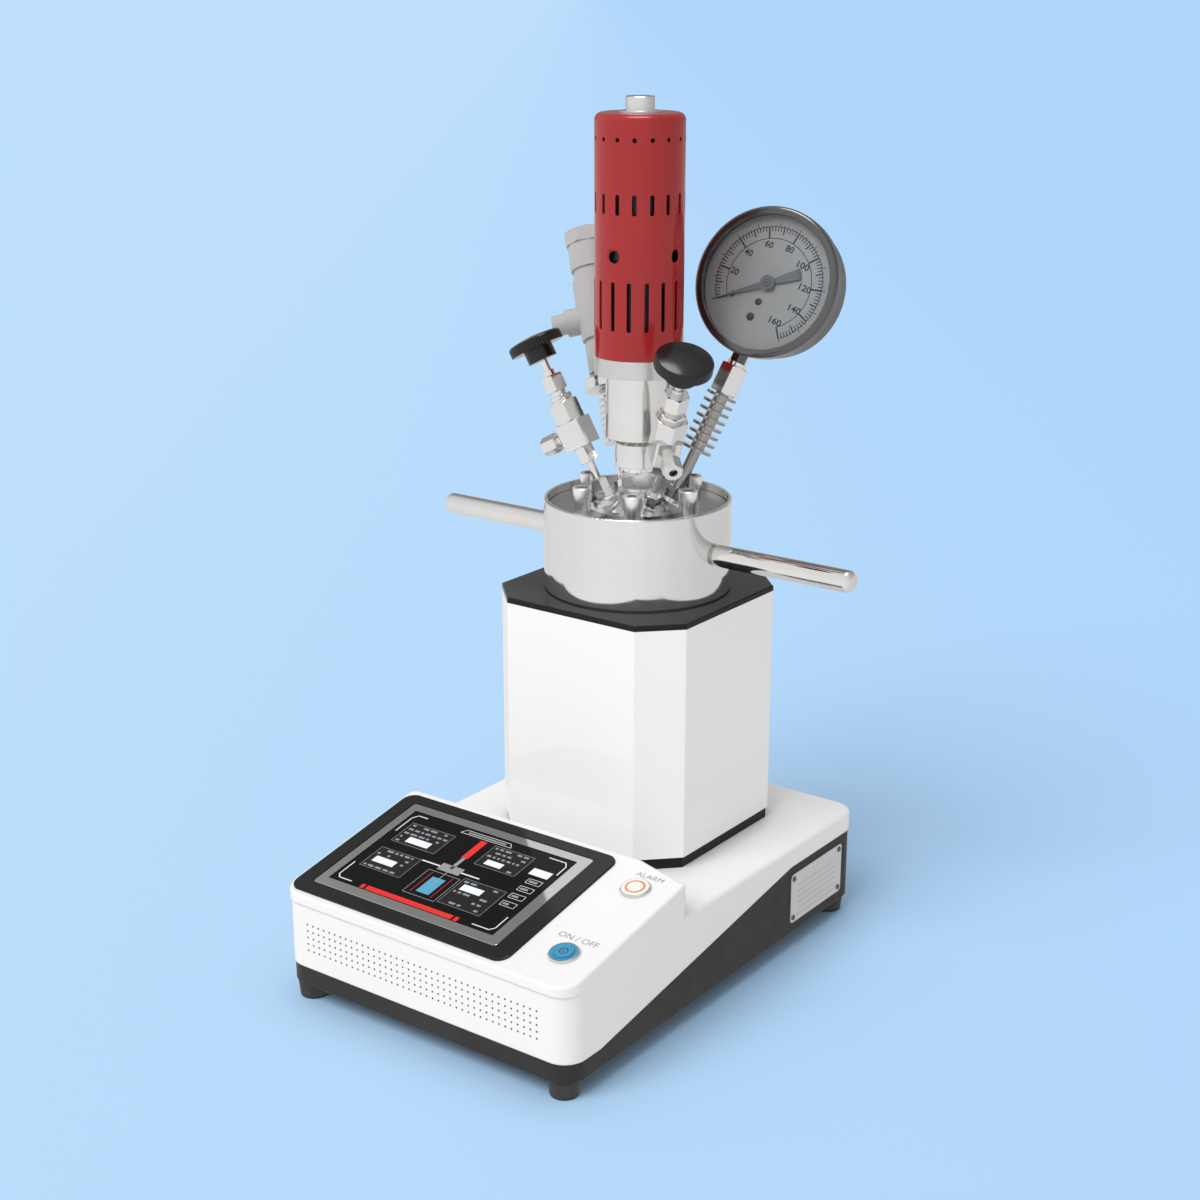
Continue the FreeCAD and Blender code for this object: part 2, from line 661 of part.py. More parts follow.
# Two half rings grip lid and cup flange; the drop band holds them shut; six screws press on the lid.
ring_r = BAND_R - BAND_T - CLEAR
foot_r = BAND_R - RING_FOOT_IN
ring = turned([
    (RING_HOLE_R, COVER_PLATE_Z), (foot_r, COVER_PLATE_Z), (foot_r, COVER_PLATE_Z + RING_FOOT_T),
    (ring_r, COVER_PLATE_Z + RING_FOOT_T), (ring_r, RING_TOP_Z), (RING_LIP_R, RING_TOP_Z),
    (RING_LIP_R, LID_EDGE_Z), (CUP_FLANGE_R + CLEAR, LID_EDGE_Z), (CUP_FLANGE_R + CLEAR, FLANGE_Z0),
    (RING_HOLE_R, FLANGE_Z0),
])
bolt = turned([
    (0, LID_EDGE_Z), (BOLT_R, LID_EDGE_Z), (BOLT_R, RING_TOP_Z), (BOLT_COLLAR_R, RING_TOP_Z),
    (BOLT_COLLAR_R, BOLT_HEAD_Z0), (BOLT_HEAD_R, BOLT_HEAD_Z0), (BOLT_HEAD_R, BOLT_HEAD_Z1 - BAND_EDGE / 2),
    (BOLT_HEAD_R - BAND_EDGE / 2, BOLT_HEAD_Z1), (0, BOLT_HEAD_Z1),
]).cut(hexagon(BOLT_SOCKET_AF, BOLT_HEAD_Z1 - BOLT_SOCKET_DEPTH, BOLT_HEAD_Z1 + 1))
bolts = []
for i in range(BOLT_N):
    a = 2 * math.pi * i / BOLT_N
    x = BOLT_CIRCLE * math.cos(a)
    y = BOLT_CIRCLE * math.sin(a)
    b = bolt.copy()
    b.translate(V(x, FURNACE_Y + y, 0))
    bolts.append(b)
    ring = ring.cut(cylinder(BOLT_R + SPIGOT_FIT, LID_EDGE_Z, RING_TOP_Z, x, y))
export("cap_bolts", Part.makeCompound(bolts))
stud_hole = Part.makeCylinder(BAR_STUD_R + SPIGOT_FIT, 2 * BAND_R, V(-BAND_R, 0, BAR_Z), V(1, 0, 0))
ring = ring.cut(stud_hole)
half = Part.makeBox(BAND_R, 2 * BAND_R, BAND_TOP_Z, V(RING_SPLIT / 2, -BAND_R, 0))
right_half = ring.common(half)
export("split_ring_right", on_axis(right_half))
export("split_ring_left", on_axis(moved(right_half, turn((0, 0, 1), 180))))
band_z0 = COVER_PLATE_Z + RING_FOOT_T
band = cylinder(BAND_R, band_z0, BAND_TOP_Z)
band = band.makeFillet(BAND_EDGE, circles_at(band, BAND_TOP_Z, BAND_R))
band = band.cut(cylinder(BAND_R - BAND_T, band_z0, BAND_TOP_Z)).cut(stud_hole)
export("drop_band", on_axis(band))

# Carrying bars: round bar with a rounded end, a neck at the band and a stud into the half ring.
bar = turned([
    (0, BAR_STUD_X), (BAR_STUD_R, BAR_STUD_X), (BAR_STUD_R, BAND_R), (BAR_NECK_R, BAND_R),
    (BAR_NECK_R, BAND_R + BAR_NECK_L), (BAR_R, BAND_R + BAR_NECK_L), (BAR_R, BAR_TIP_X), (0, BAR_TIP_X),
])
bar = bar.makeFillet(BAR_ROUND, circles_at(bar, BAR_TIP_X, BAR_R))
for name, side in (("carry_bar_right", 90), ("carry_bar_left", -90)):
    at = FreeCAD.Placement(V(0, FURNACE_Y, BAR_Z), FreeCAD.Rotation(V(0, 1, 0), side))
    export(name, moved(bar, at))

# Magnetic drive: neck with a closed can, housing, two magnet rotors, stirrer shaft.
can_in = CAN_R - CAN_WALL
neck = turned([
    (SHAFT_R + RUN_FIT, NECK_SPIGOT_Z), (NECK_SPIGOT_R, NECK_SPIGOT_Z), (NECK_SPIGOT_R, NECK_SLOT_Z),
    (NECK_HEX_AF / 2, NECK_SLOT_Z), (NECK_HEX_AF / 2, LOWER_TIER_Z0), (CAN_R, LOWER_TIER_Z0),
    (CAN_R, CAN_Z1), (0, CAN_Z1), (0, CAN_Z1 - CAN_WALL), (can_in, CAN_Z1 - CAN_WALL),
    (can_in, LOWER_TIER_Z1), (SHAFT_R + RUN_FIT, LOWER_TIER_Z1),
])
neck = neck.fuse(hexagon(NECK_HEX_AF, NECK_SLOT_Z, NECK_HEX_Z).cut(
    cylinder(SHAFT_R + RUN_FIT, NECK_SLOT_Z, NECK_HEX_Z)))
export("drive_neck", on_axis(neck.removeSplitter()))
housing = turned([
    (CAN_R, LOWER_TIER_Z0), (LOWER_TIER_R, LOWER_TIER_Z0), (LOWER_TIER_R, LOWER_TIER_Z1),
    (UPPER_TIER_R, UPPER_TIER_Z0), (UPPER_TIER_R, FLANGE_RING_Z0),
    (UPPER_TIER_R - DRIVE_WALL, FLANGE_RING_Z0), (UPPER_TIER_R - DRIVE_WALL, UPPER_TIER_Z0),
    (CAN_R, UPPER_TIER_Z0),
])
export("drive_housing", on_axis(housing))
outer_rotor = turned([
    (OUTER_ROTOR_BORE, OUTER_ROTOR_Z0), (OUTER_ROTOR_R, OUTER_ROTOR_Z0), (OUTER_ROTOR_R, OUTER_ROTOR_Z1),
    (MOTOR_SHAFT_R, OUTER_ROTOR_Z1), (MOTOR_SHAFT_R, MOTOR_SHAFT_Z1), (0, MOTOR_SHAFT_Z1),
    (0, OUTER_ROTOR_Z1 - OUTER_ROTOR_TOP_T), (OUTER_ROTOR_BORE, OUTER_ROTOR_Z1 - OUTER_ROTOR_TOP_T),
])
export("outer_rotor", on_axis(outer_rotor))
inner_rotor = cylinder(INNER_ROTOR_R, INNER_ROTOR_Z0, INNER_ROTOR_Z1).cut(
    cylinder(SHAFT_R, INNER_ROTOR_Z0, INNER_ROTOR_Z1))
export("inner_rotor", on_axis(inner_rotor))
shaft = cylinder(SHAFT_R, IMPELLER_Z, INNER_ROTOR_Z1)
shaft = shaft.fuse(cylinder(IMPELLER_HUB_R, IMPELLER_Z, IMPELLER_Z + BLADE_H))
for i in range(BLADES):
    blade = Part.makeBox(IMPELLER_R, BLADE_T, BLADE_H, V(0, -BLADE_T / 2, IMPELLER_Z))
    shaft = shaft.fuse(moved(blade, turn((0, 0, 1), 360 / BLADES * i)))
export("stirrer_shaft", on_axis(shaft.removeSplitter()))

# Motor: flange ring, motor body seen through the slots, slotted cover, stub on top.
motor_flange = cylinder(FLANGE_R, FLANGE_RING_Z0, FLANGE_RING_Z1)
motor_flange = motor_flange.cut(cylinder(MOTOR_SHAFT_R + CLEAR, FLANGE_RING_Z0, FLANGE_RING_Z1))
export("motor_flange", on_axis(motor_flange))
motor = cylinder(MOTOR_R, FLANGE_RING_Z1, MOTOR_Z1).fuse(cylinder(MOTOR_CAP_R, MOTOR_Z1, MOTOR_CAP_Z1))
motor = motor.cut(cylinder(MOTOR_SHAFT_R + RUN_FIT, FLANGE_RING_Z1, MOTOR_SHAFT_Z1 + CLEAR))
export("motor_body", on_axis(motor.removeSplitter()))
cover = cylinder(COVER_R, FLANGE_RING_Z1, COVER_Z1)
cover = cover.makeFillet(COVER_ROUND, circles_at(cover, COVER_Z1, COVER_R))
cavity = cylinder(COVER_R - COVER_WALL, FLANGE_RING_Z1, COVER_Z1 - COVER_WALL)
cavity_rim = circles_at(cavity, COVER_Z1 - COVER_WALL, COVER_R - COVER_WALL)
cavity = cavity.makeFillet(COVER_ROUND - COVER_WALL, cavity_rim)
cover = cover.cut(cavity)


def hole_tool(r, z):
    """Round hole through the front of the cover."""
    return Part.makeCylinder(r, COVER_R, V(0, -COVER_R + 2 * COVER_WALL, z), V(0, -1, 0))


def slot_tool(z0, z1):
    """Upright slot with round ends through the front of the cover."""
    r = SLOT_W / 2
    start = COVER_R - 2 * COVER_WALL
    low = hole_tool(r, z0 + r)
    high = hole_tool(r, z1 - r)
    mid = Part.makeBox(SLOT_W, COVER_R, z1 - z0 - SLOT_W, V(-r, -start - COVER_R, z0 + r))
    return low.fuse([mid, high]).removeSplitter()


tools = []
round_hole = hole_tool(SLOT_W / 2, HOLE_Z)
for i in range(COLUMNS):
    step = 360 / COLUMNS * i
    tools.append(moved(slot_tool(LONG_SLOT_Z0, LONG_SLOT_Z1), turn((0, 0, 1), step)))
    tools.append(moved(slot_tool(SHORT_SLOT_Z0, SHORT_SLOT_Z1), turn((0, 0, 1), step + HOLE_SHIFT)))
    tools.append(moved(round_hole, turn((0, 0, 1), step + HOLE_SHIFT)))
dimple = hole_tool(DIMPLE_HOLE_R, DIMPLE_Z).fuse(
    Part.makeCone(DIMPLE_HOLE_R, DIMPLE_R, COVER_WALL, V(0, -COVER_R + COVER_WALL, DIMPLE_Z), V(0, -1, 0)))
for i in range(DIMPLE_N):
    tools.append(moved(dimple, turn((0, 0, 1), 360 / DIMPLE_N * i)))
cover = cover.cut(Part.makeCompound(tools))
export("motor_cover", on_axis(cover))
stub = cylinder(WASHER_R, COVER_Z1, COVER_Z1 + WASHER_T).fuse(cylinder(STUB_R, COVER_Z1, STUB_Z1))
stub = stub.removeSplitter()
stub = stub.makeChamfer(WASHER_T / 2, circles_at(stub, STUB_Z1, STUB_R))
export("top_stub", on_axis(stub))


# Needle valve: tail tube with its nuts, block, bonnet, packing nut, outlet nut, stem and knob.
def outlet_frame(seat):
    """Frame of the outlet: Z along the outlet axis."""
    return FreeCAD.Placement(V(0, 0, seat + OUTLET_UP), FreeCAD.Rotation(V(0, 1, 0), 90))


def valve(side, frame, seat):
    block_top = seat + BLOCK_L
    nut_z = seat - VALVE_NUT_L
    tail = hexagon(TAIL_GLAND_AF, PORT_SEAT, TAIL_GLAND_TOP)
    tail = tail.fuse([
        cylinder(PORT_BORE_R, PORT_SEAT - PORT_BORE_L, PORT_SEAT),
        hexagon(TAIL_NUT_AF, TAIL_GLAND_TOP, TAIL_NUT_TOP), cylinder(TAIL_TUBE_R, TAIL_NUT_TOP, nut_z),
        hexagon(VALVE_NUT_AF, nut_z, seat), cylinder(BLOCK_SPIGOT_R, seat, seat + BLOCK_SPIGOT_L),
    ])
    export(side + "_tail", moved(tail.removeSplitter(), frame))
    body = prism([
        (-BLOCK_HALF_X + BLOCK_CUT, -BLOCK_HALF_Y), (BLOCK_HALF_X - BLOCK_CUT, -BLOCK_HALF_Y),
        (BLOCK_HALF_X, -BLOCK_HALF_Y + BLOCK_CUT), (BLOCK_HALF_X, BLOCK_HALF_Y - BLOCK_CUT),
        (BLOCK_HALF_X - BLOCK_CUT, BLOCK_HALF_Y), (-BLOCK_HALF_X + BLOCK_CUT, BLOCK_HALF_Y),
        (-BLOCK_HALF_X, BLOCK_HALF_Y - BLOCK_CUT), (-BLOCK_HALF_X, -BLOCK_HALF_Y + BLOCK_CUT),
    ], seat, block_top)
    outlet = moved(cylinder(OUTLET_NECK_R, BLOCK_HALF_X, OUTLET_NECK_END), outlet_frame(seat))
    passage = moved(cylinder(PASSAGE_R, 0, OUTLET_NECK_END), outlet_frame(seat))
    body = body.fuse(outlet).cut(passage)
    body = body.cut(cylinder(BLOCK_SPIGOT_R + SPIGOT_FIT, seat, seat + BLOCK_SPIGOT_L))
    body = body.cut(cylinder(STEM_R + RUN_FIT, seat + OUTLET_UP, block_top))
    export(side + "_valve_block", moved(body, frame))
    nut = hexagon(OUTLET_AF, OUTLET_NECK_END, OUTLET_END).cut(
        cylinder(OUTLET_BORE_R, OUTLET_NECK_END, OUTLET_END))
    export(side + "_outlet_nut", moved(moved(nut, outlet_frame(seat)), frame))
    bonnet_top = block_top + BONNET_L
    collar_top = bonnet_top + BONNET_COLLAR_L
    bonnet = hexagon(BONNET_AF, block_top, bonnet_top).fuse(cylinder(BONNET_COLLAR_R, bonnet_top, collar_top))
    bonnet = bonnet.cut(cylinder(STEM_R + RUN_FIT, block_top, collar_top))
    export(side + "_bonnet", moved(bonnet, frame))
    lock_top = collar_top + LOCK_L
    packing_z = lock_top + PACKING_NECK_L
    packing_top = packing_z + PACKING_L
    ring_top = packing_top + PACKING_RING_L
    packing = hexagon(LOCK_AF, collar_top, lock_top).fuse([
        cylinder(PACKING_NECK_R, lock_top, packing_z), hexagon(PACKING_AF, packing_z, packing_top),
        cylinder(PACKING_RING_R, packing_top, ring_top),
    ])
    packing = packing.cut(cylinder(STEM_R + RUN_FIT, collar_top, ring_top))
    export(side + "_packing_nut", moved(packing.removeSplitter(), frame))
    hub_z = seat + KNOB_UP
    rim_z = hub_z + KNOB_HUB_L
    rim_top = rim_z + KNOB_RIM_L
    stem_tip = seat + STEM_START
    bore_r = STEM_R + RUN_FIT
    bore_end = hub_z + KNOB_BORE_L
    stem_top = bore_end - RUN_FIT
    stem = turned([
        (0, stem_tip), (STEM_R, stem_tip + STEM_TIP_L), (STEM_R, stem_top), (0, stem_top),
    ])
    export(side + "_valve_stem", moved(stem, frame))
    crown_r = (KNOB_R ** 2 + KNOB_DOME ** 2) / (2 * KNOB_DOME)
    crown = Part.makeSphere(crown_r, V(0, 0, rim_top - crown_r))
    knob = cylinder(KNOB_R, rim_z, rim_top).common(crown)
    knob = knob.makeFillet(KNOB_EDGE, circles_at(knob, rim_top - KNOB_DOME, KNOB_R))
    groove = cylinder(KNOB_GROOVE_R, rim_z, rim_z + KNOB_RIB_L, KNOB_R + KNOB_GROOVE_R - KNOB_GROOVE_T)
    grooves = [moved(groove, turn((0, 0, 1), 360 / KNOB_RIBS * i)) for i in range(KNOB_RIBS)]
    knob = knob.cut(Part.makeCompound(grooves)).fuse(cylinder(KNOB_HUB_R, hub_z, rim_z))
    knob = knob.removeSplitter().cut(cylinder(bore_r, hub_z, bore_end))
    export(side + "_valve_knob", moved(knob, frame))


valve("left", LEFT_PORT, LEFT_VALVE_SEAT)
valve("right", RIGHT_PORT.multiply(turn((0, 0, 1), RIGHT_VALVE_TURN)), RIGHT_VALVE_SEAT)

# Gauge siphon: tube with a row of turned cooling fins, and the hexagon coupling above it.
siphon = cylinder(PORT_BORE_R, PORT_SEAT - PORT_BORE_L, PORT_SEAT).fuse([
    hexagon(SIPHON_NUT_AF, PORT_SEAT, PORT_SEAT + SIPHON_NUT_L),
    cylinder(SIPHON_R, PORT_SEAT + SIPHON_NUT_L, FIN_FIRST),
])
core = [(0, FIN_FIRST)]
for i in range(FIN_N):
    z = FIN_FIRST + i * FIN_PITCH
    core += [(FIN_R, z), (FIN_R, z + FIN_T), (FIN_CORE_R, z + FIN_T), (FIN_CORE_R, z + FIN_PITCH)]
core = core[:-1] + [(FIN_CORE_R, SIPHON_TOP), (0, SIPHON_TOP)]
siphon = siphon.fuse(turned(core)).removeSplitter()
export("gauge_siphon", moved(siphon, GAUGE_PORT))
coupling = hexagon(COUPLING_AF, SIPHON_TOP, COUPLING_HEX_TOP).fuse(
    cylinder(COUPLING_COLLAR_R, COUPLING_HEX_TOP, COUPLING_TOP))
export("gauge_coupling", moved(coupling, GAUGE_PORT))

# Gauge: case with socket, bezel ring, dial, pointer and window. The face frame has Y up the siphon axis.
face = GAUGE_PORT.multiply(turn((0, 0, 1), GAUGE_TURN, (0, 0, GAUGE_AT))).multiply(turn((1, 1, 1), 120))
case = cylinder(GAUGE_R, GAUGE_BACK, GAUGE_FRONT)
case = case.makeFillet(GAUGE_ROUND, circles_at(case, GAUGE_BACK, GAUGE_R))
dial_back = DIAL_FACE - DIAL_T
case = case.cut(cylinder(GAUGE_R - GAUGE_WALL, dial_back, GAUGE_FRONT))
socket = hexagon(SOCKET_AF, COUPLING_TOP, GAUGE_AT - GAUGE_R + GAUGE_WALL)
case = moved(case, face).fuse(moved(socket, GAUGE_PORT))
export("gauge_case", case.removeSplitter())
dial = cylinder(GAUGE_R - GAUGE_WALL, dial_back, DIAL_FACE).cut(
    cylinder(POINTER_PIN_R + RUN_FIT, dial_back, DIAL_FACE))
export("gauge_dial", moved(dial, face))
ring_blank = cylinder(BEZEL_RING_R, GAUGE_FRONT - BEZEL_SKIRT, BEZEL_RING_Z1)
ring_blank = ring_blank.makeFillet(BEZEL_RING_ROUND, circles_at(ring_blank, BEZEL_RING_Z1, BEZEL_RING_R))
rim = ring_blank.cut(cylinder(GAUGE_R, GAUGE_FRONT - BEZEL_SKIRT, GAUGE_FRONT))
rim = rim.cut(cylinder(BEZEL_RING_BORE, GAUGE_FRONT, BEZEL_RING_Z1))
export("gauge_bezel", moved(rim, face))
window = cylinder(BEZEL_RING_BORE, WINDOW_Z0, WINDOW_Z0 + WINDOW_T)
export("gauge_window", moved(window, face))
pointer_side = [
    (-POINTER_TAIL, POINTER_TAIL_HALF), (-POINTER_WAIST, POINTER_WAIST_HALF), (0, POINTER_ROOT_HALF),
    (POINTER_BLADE, POINTER_BLADE_HALF), (POINTER_TIP, POINTER_TIP_HALF),
]
other_side = [(x, -y) for x, y in reversed(pointer_side)]
needle = prism(pointer_side + other_side, POINTER_Z, POINTER_Z + POINTER_T)
needle = needle.fuse([
    cylinder(POINTER_HUB_R, POINTER_Z, POINTER_HUB_Z1),
    cylinder(POINTER_PIN_R, DIAL_FACE - DIAL_T, POINTER_Z),
])
needle = moved(needle.removeSplitter(), turn((0, 0, 1), POINTER_START - POINTER_TURN))
export("gauge_pointer", moved(needle, face))

# Temperature sensor: well with gland, ridges and broad flange; head with cap and cable entry.
well = hexagon(WELL_AF, PORT_SEAT, PORT_SEAT + WELL_NUT_L).fuse([
    cylinder(PORT_BORE_R, PORT_SEAT - PORT_BORE_L, PORT_SEAT),
    cylinder(WELL_TUBE_R, PORT_SEAT + WELL_NUT_L, WELL_FIN_FIRST),
])
stack = [(0, WELL_FIN_FIRST)]
for i in range(WELL_FIN_N):
    z = WELL_FIN_FIRST + i * WELL_FIN_PITCH
    stack += [(WELL_FIN_R, z), (WELL_FIN_R, z + WELL_FIN_T), (WELL_CORE_R, z + WELL_FIN_T),
              (WELL_CORE_R, z + WELL_FIN_PITCH)]
stack += [(WELL_FLANGE_R, WELL_FLANGE_Z0), (WELL_FLANGE_R, WELL_FLANGE_Z1), (WELL_TOP_R, WELL_TOP),
          (0, WELL_TOP)]
well = well.fuse(turned(stack)).removeSplitter()
export("sensor_well", moved(well, SENSOR_PORT))
entry = turn((0, 0, 1), ENTRY_TURN, (0, 0, ENTRY_UP)).multiply(turn((0, 1, 0), 90))
head = turned([
    (0, WELL_TOP), (HEAD_NECK_R, WELL_TOP), (HEAD_NECK_R, HEAD_NECK_TOP), (HEAD_GROOVE_R, HEAD_NECK_TOP),
    (HEAD_GROOVE_R, HEAD_GROOVE_TOP), (HEAD_FOOT_R, HEAD_GROOVE_TOP), (HEAD_R, ENTRY_UP), (HEAD_R, HEAD_TOP),
    (HEAD_THROAT_R, HEAD_TOP), (HEAD_THROAT_R, HEAD_THROAT_TOP), (HEAD_BAND_R, HEAD_THROAT_TOP),
    (HEAD_BAND_R, HEAD_BAND_TOP), (0, HEAD_BAND_TOP),
])
head = head.fuse(moved(cylinder(ENTRY_R, 0, ENTRY_END), entry)).removeSplitter()
export("sensor_head", moved(head, SENSOR_PORT))
export("sensor_cap", moved(polygon(CAP_AF, CAP_CORNERS, HEAD_BAND_TOP, CAP_TOP), SENSOR_PORT))
gland = cylinder(CABLE_NUT_R, ENTRY_END, CABLE_NUT_END).cut(cylinder(CABLE_BORE_R, ENTRY_END, CABLE_NUT_END))
export("cable_gland", moved(moved(gland, entry), SENSOR_PORT))
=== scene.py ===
import bmesh
import bpy
import math
import random
from mathutils import Matrix, Vector


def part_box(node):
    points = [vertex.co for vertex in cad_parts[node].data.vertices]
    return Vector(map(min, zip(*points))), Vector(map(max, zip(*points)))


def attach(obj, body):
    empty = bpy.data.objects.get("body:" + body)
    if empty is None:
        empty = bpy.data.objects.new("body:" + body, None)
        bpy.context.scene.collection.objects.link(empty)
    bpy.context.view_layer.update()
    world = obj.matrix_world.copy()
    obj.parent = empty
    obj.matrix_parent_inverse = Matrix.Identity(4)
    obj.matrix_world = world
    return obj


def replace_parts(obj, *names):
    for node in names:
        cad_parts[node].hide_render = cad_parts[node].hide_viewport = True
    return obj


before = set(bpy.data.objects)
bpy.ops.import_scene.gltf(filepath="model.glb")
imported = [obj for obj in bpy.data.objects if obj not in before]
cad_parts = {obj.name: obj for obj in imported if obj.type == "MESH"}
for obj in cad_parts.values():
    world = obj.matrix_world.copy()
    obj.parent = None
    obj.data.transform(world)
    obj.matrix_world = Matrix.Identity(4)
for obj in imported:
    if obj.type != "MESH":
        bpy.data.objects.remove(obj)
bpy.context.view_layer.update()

# View and light.
# The camera stands in front and to the right of the bench, a little above the gauge. The reactor is lit like
# polished ware: an even sky, one soft lamp from the left front, and a light tent that only the gloss can see.
LENS = 59.9
SENSOR = 36.0
CAMERA_AT = (0.8648, -1.14385, 0.7455)
CAMERA_TILT = 72.41         # degrees from straight down
CAMERA_TURN = 36.53
camera_data = bpy.data.cameras.new("camera")
camera_data.lens = LENS
camera_data.sensor_width = SENSOR
camera = bpy.data.objects.new("camera", camera_data)
camera.location = CAMERA_AT
camera.rotation_euler = (math.radians(CAMERA_TILT), 0, math.radians(CAMERA_TURN))
bpy.context.scene.collection.objects.link(camera)
bpy.context.scene.camera = camera
bpy.context.scene.view_settings.view_transform = "Standard"

PALE_BLUE = (0.465, 0.700, 0.975)
SKY_LIGHT = (1.0, 1.0, 1.0)
SKY_STRENGTH = 0.62


def seen_directly(nodes, links):
    """1 for what the camera, a polished surface or glass looks at, 0 for the light on dull surfaces."""
    path = nodes.new("ShaderNodeLightPath")
    first = nodes.new("ShaderNodeMath")
    first.operation = "MAXIMUM"
    links.new(path.outputs["Is Camera Ray"], first.inputs[0])
    links.new(path.outputs["Is Glossy Ray"], first.inputs[1])
    second = nodes.new("ShaderNodeMath")
    second.operation = "MAXIMUM"
    links.new(first.outputs[0], second.inputs[0])
    links.new(path.outputs["Is Transmission Ray"], second.inputs[1])
    undimmed = nodes.new("ShaderNodeMath")
    undimmed.operation = "SUBTRACT"
    undimmed.use_clamp = True
    links.new(second.outputs[0], undimmed.inputs[0])
    links.new(path.outputs["Diffuse Depth"], undimmed.inputs[1])
    return undimmed.outputs[0]


world = bpy.data.worlds.new("studio")
bpy.context.scene.world = world
world.use_nodes = True
sky = world.node_tree
sky.nodes.clear()
sky_out = sky.nodes.new("ShaderNodeOutputWorld")
sky_mix = sky.nodes.new("ShaderNodeMixShader")
sky_light = sky.nodes.new("ShaderNodeBackground")
sky_light.inputs["Color"].default_value = (*SKY_LIGHT, 1)
sky_light.inputs["Strength"].default_value = SKY_STRENGTH
sky_back = sky.nodes.new("ShaderNodeBackground")
sky_back.inputs["Color"].default_value = (*PALE_BLUE, 1)
sky.links.new(seen_directly(sky.nodes, sky.links), sky_mix.inputs[0])
sky.links.new(sky_light.outputs[0], sky_mix.inputs[1])
sky.links.new(sky_back.outputs[0], sky_mix.inputs[2])
sky.links.new(sky_mix.outputs[0], sky_out.inputs[0])


def soft_sun(name, heading, height, strength, spread):
    """Far soft lamp, heading in degrees from +X, height above the floor in degrees."""
    data = bpy.data.lights.new(name, "SUN")
    data.energy = strength
    data.angle = math.radians(spread)
    lamp = bpy.data.objects.new(name, data)
    a = math.radians(heading)
    h = math.radians(height)
    towards = Vector((math.cos(h) * math.cos(a), math.cos(h) * math.sin(a), math.sin(h)))
    lamp.rotation_euler = towards.to_track_quat("Z", "Y").to_euler()
    lamp.visible_glossy = False
    bpy.context.scene.collection.objects.link(lamp)


soft_sun("key", heading=262, height=50, strength=1.85, spread=40)
soft_sun("back_fill", heading=100, height=55, strength=0.15, spread=60)

# Light tent.
# A white light tent stands round the bench, and only polished surfaces see it. Its levels go round by heading,
# low down and high up: brightest in front and darkest behind the reactor, with a round lamp at its crown.
TENT_R = 1.0
TENT_IN = 0.01
TENT_LOW = 0.002
TENT_MIDDLE = 0.45
TENT_SHOULDER = 0.65
TENT_TOP = 1.7
TENT_CROWN_LEVEL = 0.85
TENT_LEVELS_LOW = (0.88, 0.92, 0.95, 0.97, 0.96, 0.90, 0.80, 0.74, 0.72, 0.70, 0.70, 0.78)
TENT_LEVELS_HIGH = (0.70, 0.85, 0.90, 0.90, 0.90, 0.80, 0.65, 0.50, 0.42, 0.32, 0.24, 0.32)
TENT_SIDES = 72
TENT_LAMP_R = 0.28
TENT_LAMP_EDGE = 0.06
TENT_LAMP_LEVEL = 8.0


def tent_level(levels, k):
    """Level at side k of the tent, eased between values set at even steps round it from heading -180."""
    place = k * len(levels) / TENT_SIDES
    first = int(place) % len(levels)
    ease = (1 - math.cos(math.pi * (place - int(place)))) / 2
    return levels[first] * (1 - ease) + levels[(first + 1) % len(levels)] * ease


tent_mesh = bpy.data.meshes.new("light_tent")
tent_rings = ((TENT_IN, TENT_LOW, TENT_LEVELS_LOW), (TENT_R, TENT_LOW, TENT_LEVELS_LOW),
              (TENT_R, TENT_MIDDLE, TENT_LEVELS_LOW), (TENT_R, TENT_SHOULDER, TENT_LEVELS_HIGH),
              (TENT_R, TENT_TOP, TENT_LEVELS_HIGH),
              (TENT_LAMP_R + TENT_LAMP_EDGE, TENT_TOP, (TENT_CROWN_LEVEL,)),
              (TENT_LAMP_R, TENT_TOP, (TENT_LAMP_LEVEL,)))
tent_points = []
tent_values = []
for radius, z, levels in tent_rings:
    for k in range(TENT_SIDES):
        a = 2 * math.pi * k / TENT_SIDES - math.pi
        tent_points.append((radius * math.cos(a), radius * math.sin(a), z))
        tent_values.append(tent_level(levels, k))
crown = len(tent_points)
tent_points.append((0, 0, TENT_TOP))
tent_values.append(TENT_LAMP_LEVEL)
tent_faces = []
for ring in range(len(tent_rings) - 1):
    for k in range(TENT_SIDES):
        n = (k + 1) % TENT_SIDES
        low = ring * TENT_SIDES
        tent_faces.append((low + k, low + n, low + TENT_SIDES + n, low + TENT_SIDES + k))
for k in range(TENT_SIDES):
    tent_faces.append((crown - TENT_SIDES + k, crown - TENT_SIDES + (k + 1) % TENT_SIDES, crown))
tent_mesh.from_pydata(tent_points, [], tent_faces)
tent_mesh.attributes.new("level", "FLOAT", "POINT").data.foreach_set("value", tent_values)
tent = bpy.data.objects.new("light_tent", tent_mesh)
tent.visible_camera = False
tent.visible_diffuse = False
tent.visible_transmission = False
tent.visible_shadow = False
bpy.context.scene.collection.objects.link(tent)
tent_cloth = bpy.data.materials.new("light_tent")
tent_cloth.use_nodes = True
tree = tent_cloth.node_tree
tree.nodes.clear()
out = tree.nodes.new("ShaderNodeOutputMaterial")
lit = tree.nodes.new("ShaderNodeEmission")
level = tree.nodes.new("ShaderNodeAttribute")
level.attribute_name = "level"
tree.links.new(level.outputs["Fac"], lit.inputs["Strength"])
tree.links.new(lit.outputs[0], out.inputs[0])
tent_cloth.cycles.emission_sampling = "NONE"
tent_mesh.materials.append(tent_cloth)

